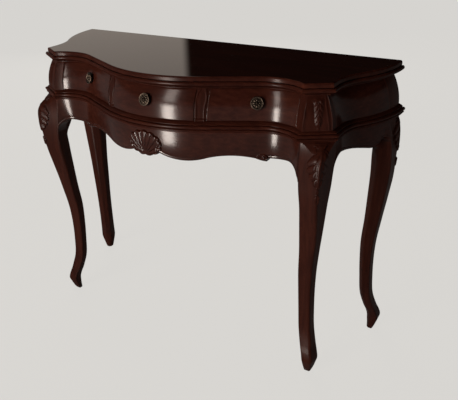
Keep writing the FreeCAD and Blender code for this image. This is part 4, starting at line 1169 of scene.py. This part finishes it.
def husk(gap, z):
    """Small pendant below the leaf's tip."""
    share = (HUSK_TOP - z) / (HUSK_TOP - HUSK_TIP)
    if not 0 < share < 1:
        return 0.0
    half = HUSK_REACH * math.sin(math.pi * share**HUSK_POWER)
    return HUSK_HEIGHT * smooth(half - gap, 0, HUSK_EDGE) * (1 - HUSK_VEIN_SHARE * ridge(gap, HUSK_VEIN))


def acanthus(kind, distance, z):
    """Relief of the knee: leaves over a ground, cut back on the back legs so that nothing stands proud."""
    gap = abs(distance)
    ground = smooth(z, *GROUND_RISE) * smooth(LEAF_REACH + GROUND_MARGIN - gap, 0, GROUND_MARGIN)
    ground *= smooth(WAIST_BASE - z, 0, GROUND_FADE)
    raised = max(main_leaf(gap, z), collar_leaf(gap, z), husk(gap, z))
    relief = raised - LEAF_SINK[kind] * ground
    return relief if kind == "front" else min(0.0, relief)


FOOT_HEIGHT = 70
CARVING_LEAD = 8
CARVING_START = HUSK_TIP - CARVING_LEAD
LEG_CREASE = 48
FOOT_ROWS, SHAFT_ROWS, KNEE_ROWS = 36, 96, 132


def leg_heights():
    heights = spread(0, FOOT_HEIGHT, FOOT_ROWS) + spread(FOOT_HEIGHT, CARVING_START, SHAFT_ROWS)[1:]
    return heights + spread(CARVING_START, WAIST_BASE, KNEE_ROWS)[1:]


def leg(kind, side):
    sign = SIDES[side]
    corner = (LEG_REACH, LEG_DEPTH) if kind == "front" else (BACK_LEG_REACH, BACK_LEG_DEPTH)
    forward = 1 if kind == "front" else -1
    rings = []
    for z in leg_heights():
        path, distances, hidden = leg_ring(kind, z)
        shown = []
        for index, spot in enumerate(path):
            before, after = path[max(index - 1, 0)], path[min(index + 1, len(path) - 1)]
            along = (after - before).normalized()
            out = Vector((-along.y, along.x))
            shown.append(spot + out * acanthus(kind, distances[index], z))
        rings.append([at(sign * (corner[0] + spot.x), corner[1] + forward * spot.y, z)
                      for spot in shown + hidden])
    form = Form()
    form.tube(rings)
    form.piece(f"leg_{kind}_{side}_carved", MAHOGANY["z"], replaces=[f"leg_{kind}_{side}"],
               crease=LEG_CREASE)


for kind in FEET:
    for side in SIDES:
        leg(kind, side)

apron_slab("apron_front_shaped", whole(front_edge()), front_apron_place, MAHOGANY["x"], ["apron_front"])
for side, sign in SIDES.items():
    apron_slab(f"apron_{side}_shaped", side_edge(),
               lambda depth, offset, z: mirrored([side_apron_place(depth, offset, z)], sign)[0],
               MAHOGANY["y"], [f"apron_{side}"])

# Carved shell: a fluted fan with a lobed edge, and beads at its sides

SHELL_HALF_WIDTH = 52
SHELL_SHIFT = -4
SHELL_HALF_HEIGHT = 35
SHELL_LOBE = 4
SHELL_LOBES = 13
SHELL_MIDDLE = WAIST_BASE - SHELL_HALF_HEIGHT - SHELL_LOBE
SHELL_BACK = -7
SHELL_RELIEF = 8.6
SHELL_HEIGHT, FLUTE_DEPTH, SHELL_LIFT = 5.4, 2.2, 1.2
FLUTE_FADE, LIFT_FADE = (4, 26), (16, 56)
HINGE_DROP = 30
FLUTES = 11
BEADS = ((40, -3, 3.4), (41, -13, 4.8))
BEAD_BASE, BEAD_HEIGHT = 3.0, 4.4
BEAD_GROOVE, BEAD_GROOVE_WIDTH = 0.8, 1.2
BEAD_GROOVE_SHARE = 1.15
SHELL_ANGLES, SHELL_RINGS = 312, 64
DISC_EDGE_SHARE, DISC_RIM_SHARE = 0.9, 0.25
DISC_CREASE = 50


def shell_height(x, z):
    """Relief of the shell at a place from its middle: grooves fan out from its foot."""
    reach = abs(x)
    radius = math.hypot(reach, z + HINGE_DROP)
    turn = math.atan2(reach, z + HINGE_DROP)
    groove = (1 - abs(math.cos(FLUTES * turn)))**2
    height = SHELL_HEIGHT - FLUTE_DEPTH * groove * smooth(radius, *FLUTE_FADE)
    height += SHELL_LIFT * smooth(radius, *LIFT_FADE)
    for bead_x, bead_z, bead_radius in BEADS:
        away = math.hypot(reach - bead_x, z - bead_z) / bead_radius
        if away < 1:
            height = max(height, BEAD_BASE + BEAD_HEIGHT * math.sqrt(1 - away**2))
        height -= BEAD_GROOVE * ridge((away - BEAD_GROOVE_SHARE) * bead_radius, BEAD_GROOVE_WIDTH)
    return min(height, SHELL_RELIEF)


def shell_reach(angle):
    """Half width and half height of the lobed outline at an angle."""
    inset = SHELL_LOBE * (1 - abs(math.sin(SHELL_LOBES * (angle + math.pi / 2) / 2)))
    return SHELL_HALF_WIDTH - inset, SHELL_HALF_HEIGHT - inset


def on_apron(x, z, lift):
    """Place on the front apron's plain face, raised by lift."""
    return at(x, front_face(x, apron_offset(max(z, WAIST_BASE - APRON_HEIGHT)) + lift)[0], z)


def carved_disc(name, centre, reach, height, back, angles, radii, replaces=()):
    """Closed carving on the front apron: a lobed disc with a height over the apron's face."""
    form = Form()
    rings = []
    turns = [2 * math.pi * step / angles for step in range(angles)]
    for share in radii:
        past = max(0.0, (share - DISC_EDGE_SHARE) / (1 - DISC_EDGE_SHARE))
        edge = DISC_RIM_SHARE + (1 - DISC_RIM_SHARE) * math.sqrt(max(0.0, 1 - past**2))
        ring = []
        for angle in turns:
            wide, tall = reach(angle)
            x, z = share * wide * math.cos(angle), share * tall * math.sin(angle)
            ring.append(on_apron(centre[0] + x, centre[1] + z, back + (height(x, z) - back) * edge))
        rings.append(ring)
    outline = [(reach(angle), angle) for angle in turns]
    rings.append([on_apron(centre[0] + wide * math.cos(angle), centre[1] + tall * math.sin(angle), back)
                  for (wide, tall), angle in outline])
    form.tube(rings)
    form.piece(name, MAHOGANY["x"], replaces=replaces, crease=DISC_CREASE)


carved_disc("shell_carved", (SHELL_SHIFT, SHELL_MIDDLE), shell_reach, shell_height, SHELL_BACK, SHELL_ANGLES,
            spread(0.01, 1, SHELL_RINGS), ["apron_shell"])

# Scrolled buds on the lower edge of the front apron

BUD_SHARE = 0.722
BUD_DROP = 2
BUD_PLACE = (BUD_SHARE * LEG_REACH, FRONT_LEVEL - BUD_DROP)
BUD_REACH = (15, 9.5)
BUD_HEIGHT, BUD_COIL_HEIGHT, BUD_LEAF_HEIGHT = 2.6, 2.2, 1.5
BUD_BACK = -5
BUD_EYE = (7, -1)
BUD_COIL_RADIUS, BUD_COIL_EDGE, BUD_COIL_PITCH = 7.5, 1.5, 1.05
BUD_VEIN_PITCH, BUD_VEIN_SLANT, BUD_LEAF_FADE = 1.1, 0.25, (-2, 6)
BUD_ANGLES, BUD_RINGS = 96, 26


def bud_reach(angle):
    return BUD_REACH


def bud_height(x, z):
    """A low boss with a coil toward the leg and a veined leaf toward the middle."""
    away = math.hypot(x / BUD_REACH[0], z / BUD_REACH[1])
    out, up = x - BUD_EYE[0], z - BUD_EYE[1]
    eye = math.hypot(out, up)
    coil = 0.5 + 0.5 * math.cos(eye * BUD_COIL_PITCH - math.atan2(up, out))
    coil *= smooth(BUD_COIL_RADIUS - eye, 0, BUD_COIL_EDGE)
    leaf = math.cos(BUD_VEIN_PITCH * (z + BUD_VEIN_SLANT * x)) * smooth(-x, *BUD_LEAF_FADE)
    height = BUD_HEIGHT * math.sqrt(max(0.0, 1 - away**2))
    return height + BUD_COIL_HEIGHT * coil + BUD_LEAF_HEIGHT * leaf * (1 - away)


for side, sign in SIDES.items():
    carved_disc(f"apron_bud_{side}", (sign * BUD_PLACE[0], BUD_PLACE[1]), bud_reach,
                lambda x, z: bud_height(sign * x, z), BUD_BACK, BUD_ANGLES, spread(0.02, 1, BUD_RINGS))

# Knobs: a turned stem, a rim ring and a flower on the face

KNOB_RISE = 44
KNOB_SEAT = 1.6
KNOB_PROFILE = ((9, 0), (9, 1.3), (8.5, 1.9), (7.2, 2.3), (6.0, 3.0), (5.5, 3.8), (5.9, 4.6), (8.5, 5.2),
                (11.5, 5.8), (14, 6.7), (15.5, 7.9), (16, 9.1), (15.8, 10.2), (15.1, 11.2), (14.2, 11.6),
                (13.3, 11.2), (12.7, 10.3), (12.2, 9.5))
KNOB_FACE = 9.3
FLOWER_RADII = spread(11.8, 0.15, 34)
PETALS = 8
PETAL_REACH, PETAL_LOBE, PETAL_EDGE, PETAL_HEIGHT = 7.0, 4.0, 1.6, 1.6
PETAL_HOLLOW_SHARE = 0.55
PETAL_CREST, PETAL_CREST_RADIUS, PETAL_CREST_WIDTH = 0.9, 6.5, 2.2
EYE_RADIUS, EYE_HEIGHT = 3.6, 2.4
EYE_GROOVE, EYE_GROOVE_RADIUS, EYE_GROOVE_WIDTH = 0.9, 4.1, 0.8
KNOB_ANGLES = 128
KNOB_CREASE = 60


def flower(radius, angle):
    """Height of the knob's face inside its rim."""
    petal = abs(math.cos(PETALS * angle / 2))
    inside = smooth(PETAL_REACH + PETAL_LOBE * petal - radius, 0, PETAL_EDGE)
    height = KNOB_FACE + PETAL_HEIGHT * inside * (1 - PETAL_HOLLOW_SHARE * (1 - petal))
    height += PETAL_CREST * ridge(radius - PETAL_CREST_RADIUS, PETAL_CREST_WIDTH) * petal
    height -= EYE_GROOVE * ridge(radius - EYE_GROOVE_RADIUS, EYE_GROOVE_WIDTH)
    return height + EYE_HEIGHT * dome(radius, 0, EYE_RADIUS)


def knob(bay):
    middle = sum(BAYS[bay]) / 2
    depth, turn = front_face(middle, bombe(KNOB_RISE))
    tilt = math.asin(KNOB_RISE * 2 * BOMBE_DEPTH / (FRIEZE_HEIGHT**2 + BOMBE_DEPTH**2))
    normal = Vector((math.sin(turn) * math.cos(tilt), -math.cos(turn) * math.cos(tilt), math.sin(tilt)))
    seat = Vector(at(middle, depth, FRIEZE_BASE + KNOB_RISE)) - normal * KNOB_SEAT
    across = Vector((0, 0, 1)).cross(normal).normalized()
    upward = normal.cross(across)
    profile = [(radius, lambda r, a, h=height: h) for radius, height in KNOB_PROFILE]
    profile += [(radius, flower) for radius in FLOWER_RADII]
    rings = []
    for radius, height in profile:
        ring = []
        for step in range(KNOB_ANGLES):
            angle = 2 * math.pi * step / KNOB_ANGLES
            spot = seat + (across * math.cos(angle) + upward * math.sin(angle)) * radius
            ring.append(tuple(spot + normal * height(radius, angle)))
        rings.append(ring)
    form = Form()
    form.tube(rings)
    form.piece(f"knob_{bay}_rosette", BRASS, body=f"drawer_{bay}",
               replaces=[f"drawer_{bay}_knob"], crease=KNOB_CREASE)


for bay in BAYS:
    knob(bay)

# Construction that stays as packed: drawer boxes, rails, boards and blocks, with softened edges

SOFT_EDGE = 0.0007
SOFT_EDGE_TURN = math.radians(60)


def dress(name, finish, bevel=True):
    """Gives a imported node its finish, and a small bevel where it is a board."""
    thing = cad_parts[name]
    thing.data.materials.clear()
    thing.data.materials.append(finish)
    if bevel:
        edge = thing.modifiers.new("edge", "BEVEL")
        edge.width = SOFT_EDGE
        edge.segments = 2
        edge.limit_method = "ANGLE"
        edge.angle_limit = SOFT_EDGE_TURN


for bay in BAYS:
    for side in SIDES:
        dress(f"drawer_{bay}_side_{side}", DRAWER_WOOD["y"])
    dress(f"drawer_{bay}_back", DRAWER_WOOD["x"])
    dress(f"drawer_{bay}_bottom", DRAWER_WOOD["y"])
    dress(f"drawer_{bay}_knob_screw", STEEL, bevel=False)
    dress(f"drawer_stop_{bay}", INNER_WOOD["x"])
for name in ("back_panel", "top_rail_front", "top_rail_back", "dust_board"):
    dress(name, INNER_WOOD["x"])
dress("waist_back", MAHOGANY["x"])
dress("apron_back", MAHOGANY["x"])
dress("top_screws", STEEL, bevel=False)
for side in SIDES:
    dress(f"partition_{side}", INNER_WOOD["y"])
    dress(f"drawer_guide_{side}", INNER_WOOD["y"])
    for place in FEET:
        dress(f"corner_block_{place}_{side}", INNER_WOOD["z"])

# Stage: a pale floor with a low wall round it, a room that is bright at the back left, lamps and the camera

FLOOR_COLOUR = (0.724, 0.709, 0.681)
FLOOR_HALF = 40.0
WALL_HEIGHT = 8.0
FLOOR_GLOW_SHARE = 0.92
FLOOR_DIM_COLOUR = (0.26, 0.25, 0.24)


def pale_finish():
    """Pale to the camera and in reflections, with the table's shadow; in diffuse light it is dim."""
    material, tree = blank("pale_backdrop")
    rays = node(tree, "LightPath").outputs
    mirrored_ray = maths(tree, "MAXIMUM", rays["Is Glossy Ray"], rays["Is Transmission Ray"])
    seen = maths(tree, "MAXIMUM", rays["Is Camera Ray"], mirrored_ray)
    matt = node(tree, "BsdfDiffuse", Color=(*FLOOR_COLOUR, 1.0))
    glow = node(tree, "Emission", Color=(*FLOOR_COLOUR, 1.0), Strength=1.0)
    pale = node(tree, "MixShader", FLOOR_GLOW_SHARE, matt.outputs[0], glow.outputs[0])
    dim = node(tree, "BsdfDiffuse", Color=(*FLOOR_DIM_COLOUR, 1.0))
    finished(tree, node(tree, "MixShader", seen, dim.outputs[0], pale.outputs[0]))
    return material


def backdrop():
    """Floor and the low wall that closes it in on all sides."""
    reach = FLOOR_HALF
    corners = [(-reach, -reach), (reach, -reach), (reach, reach), (-reach, reach)]
    points = [(x, y, z) for z in (0.0, WALL_HEIGHT) for x, y in corners]
    faces = [(0, 1, 2, 3)] + [(here, (here + 1) % 4, (here + 1) % 4 + 4, here + 4) for here in range(4)]
    mesh = bpy.data.meshes.new("backdrop")
    mesh.from_pydata(points, [], faces)
    mesh.materials.append(pale_finish())
    ground = bpy.data.objects.new("backdrop", mesh)
    bpy.context.scene.collection.objects.link(ground)


# Place, target, width and height in metres, power in watts, and whether the lamp shows in the polish
LAMP_COLOUR = (1.0, 0.91, 0.83)
LAMPS = {
    "window_lower": ((-0.29, -1.72, 0.50), (0.05, -0.1, 0.50), (0.34, 0.88), 74, True),
    "window_upper": ((-0.29, -1.72, 1.56), (0.05, -0.1, 1.56), (0.34, 0.90), 21, True),
    "front_fill": ((-1.2, -4.4, 1.7), (0.0, 0.0, 0.5), (2.4, 1.8), 150, False),
    "side_fill": ((3.6, -0.6, 1.5), (0.0, 0.0, 0.5), (2.0, 1.6), 8, False),
    "ceiling": ((-1.6, 0.6, 3.2), (0.0, 0.0, 0.4), (2.0, 2.0), 5, False),
    "back_fill": ((-2.4, 2.8, 1.5), (0.0, 0.0, 0.5), (2.4, 1.8), 38, False),
}


def area_light(name, place, target, size, power, highlight):
    """Soft lamp that is either mirrored in the polish or fills in the shade."""
    light = bpy.data.lights.new(name, "AREA")
    light.shape = "RECTANGLE"
    light.size, light.size_y = size
    light.energy = power
    light.color = LAMP_COLOUR
    thing = bpy.data.objects.new(name, light)
    thing.location = place
    aim = Vector(target) - Vector(place)
    thing.rotation_euler = aim.to_track_quat("-Z", "Y").to_euler()
    thing.visible_camera = False
    thing.visible_glossy = highlight
    thing.visible_diffuse = not highlight
    bpy.context.scene.collection.objects.link(thing)


# The room is bright behind the table on the left, up to an edge that the top mirrors, dim on the left of
# the table and dark elsewhere.
ROOM_COLOUR = (1.0, 0.87, 0.76, 1.0)
BRIGHT_EDGE_TURN = math.radians(34.8)
BRIGHT_EDGE_BLUR = 0.008
BRIGHT_ROOM, DIM_ROOM, DARK_ROOM = 0.56, 0.06, 0.004
BACK_FADE, LEFT_FADE = (-0.1, 0.3), (-0.1, -0.95)


def soft_step(tree, value, start, end):
    made = node(tree, "MapRange", value, start, end, settings={"interpolation_type": "SMOOTHSTEP"})
    return made.outputs["Result"]


def product(tree, first, second):
    return maths(tree, "MULTIPLY", first, second)


def room():
    world = bpy.data.worlds.new("room")
    bpy.context.scene.world = world
    world.use_nodes = True
    tree = world.node_tree
    tree.nodes.clear()
    way = node(tree, "TexCoord").outputs["Generated"]
    split = node(tree, "SeparateXYZ", way).outputs
    left = (-math.cos(BRIGHT_EDGE_TURN), -math.sin(BRIGHT_EDGE_TURN), 0.0)
    side = node(tree, "VectorMath", way, left, settings={"operation": "DOT_PRODUCT"}).outputs["Value"]
    edge = soft_step(tree, side, -BRIGHT_EDGE_BLUR, BRIGHT_EDGE_BLUR)
    bright = product(tree, edge, soft_step(tree, split["Y"], *BACK_FADE))
    beside = soft_step(tree, split["Y"], *reversed(BACK_FADE))
    dim = product(tree, soft_step(tree, split["X"], *LEFT_FADE), beside)
    light = total(tree, product(tree, bright, BRIGHT_ROOM), product(tree, dim, DIM_ROOM))
    glow = node(tree, "Background", Color=ROOM_COLOUR, Strength=total(tree, light, DARK_ROOM))
    node(tree, "OutputWorld", Surface=glow.outputs[0])


CAMERA_PLACE = Vector((0.9160, -1.3196, 1.1715))
CAMERA_YAW, CAMERA_PITCH, CAMERA_ROLL = (math.radians(a) for a in (31.09, 26.35, -1.5))
CAMERA_LENS = 47.75
CAMERA_SENSOR = 36.0


def camera():
    level = math.cos(CAMERA_PITCH)
    ahead = Vector((-math.sin(CAMERA_YAW) * level, math.cos(CAMERA_YAW) * level, -math.sin(CAMERA_PITCH)))
    right = Vector((math.cos(CAMERA_YAW), math.sin(CAMERA_YAW), 0.0))
    upward = right.cross(ahead)
    cosine, sine = math.cos(CAMERA_ROLL), math.sin(CAMERA_ROLL)
    right, upward = right * cosine + upward * sine, upward * cosine - right * sine
    lens = bpy.data.cameras.new("camera")
    lens.lens = CAMERA_LENS
    lens.sensor_width = CAMERA_SENSOR
    lens.sensor_fit = "HORIZONTAL"
    thing = bpy.data.objects.new("camera", lens)
    turn = Matrix((right, upward, -ahead)).transposed()
    thing.matrix_world = Matrix.Translation(CAMERA_PLACE) @ turn.to_4x4()
    bpy.context.scene.collection.objects.link(thing)
    bpy.context.scene.camera = thing


backdrop()
room()
for name, lamp in LAMPS.items():
    area_light(name, *lamp)
camera()
bpy.context.scene.view_settings.view_transform = "Standard"
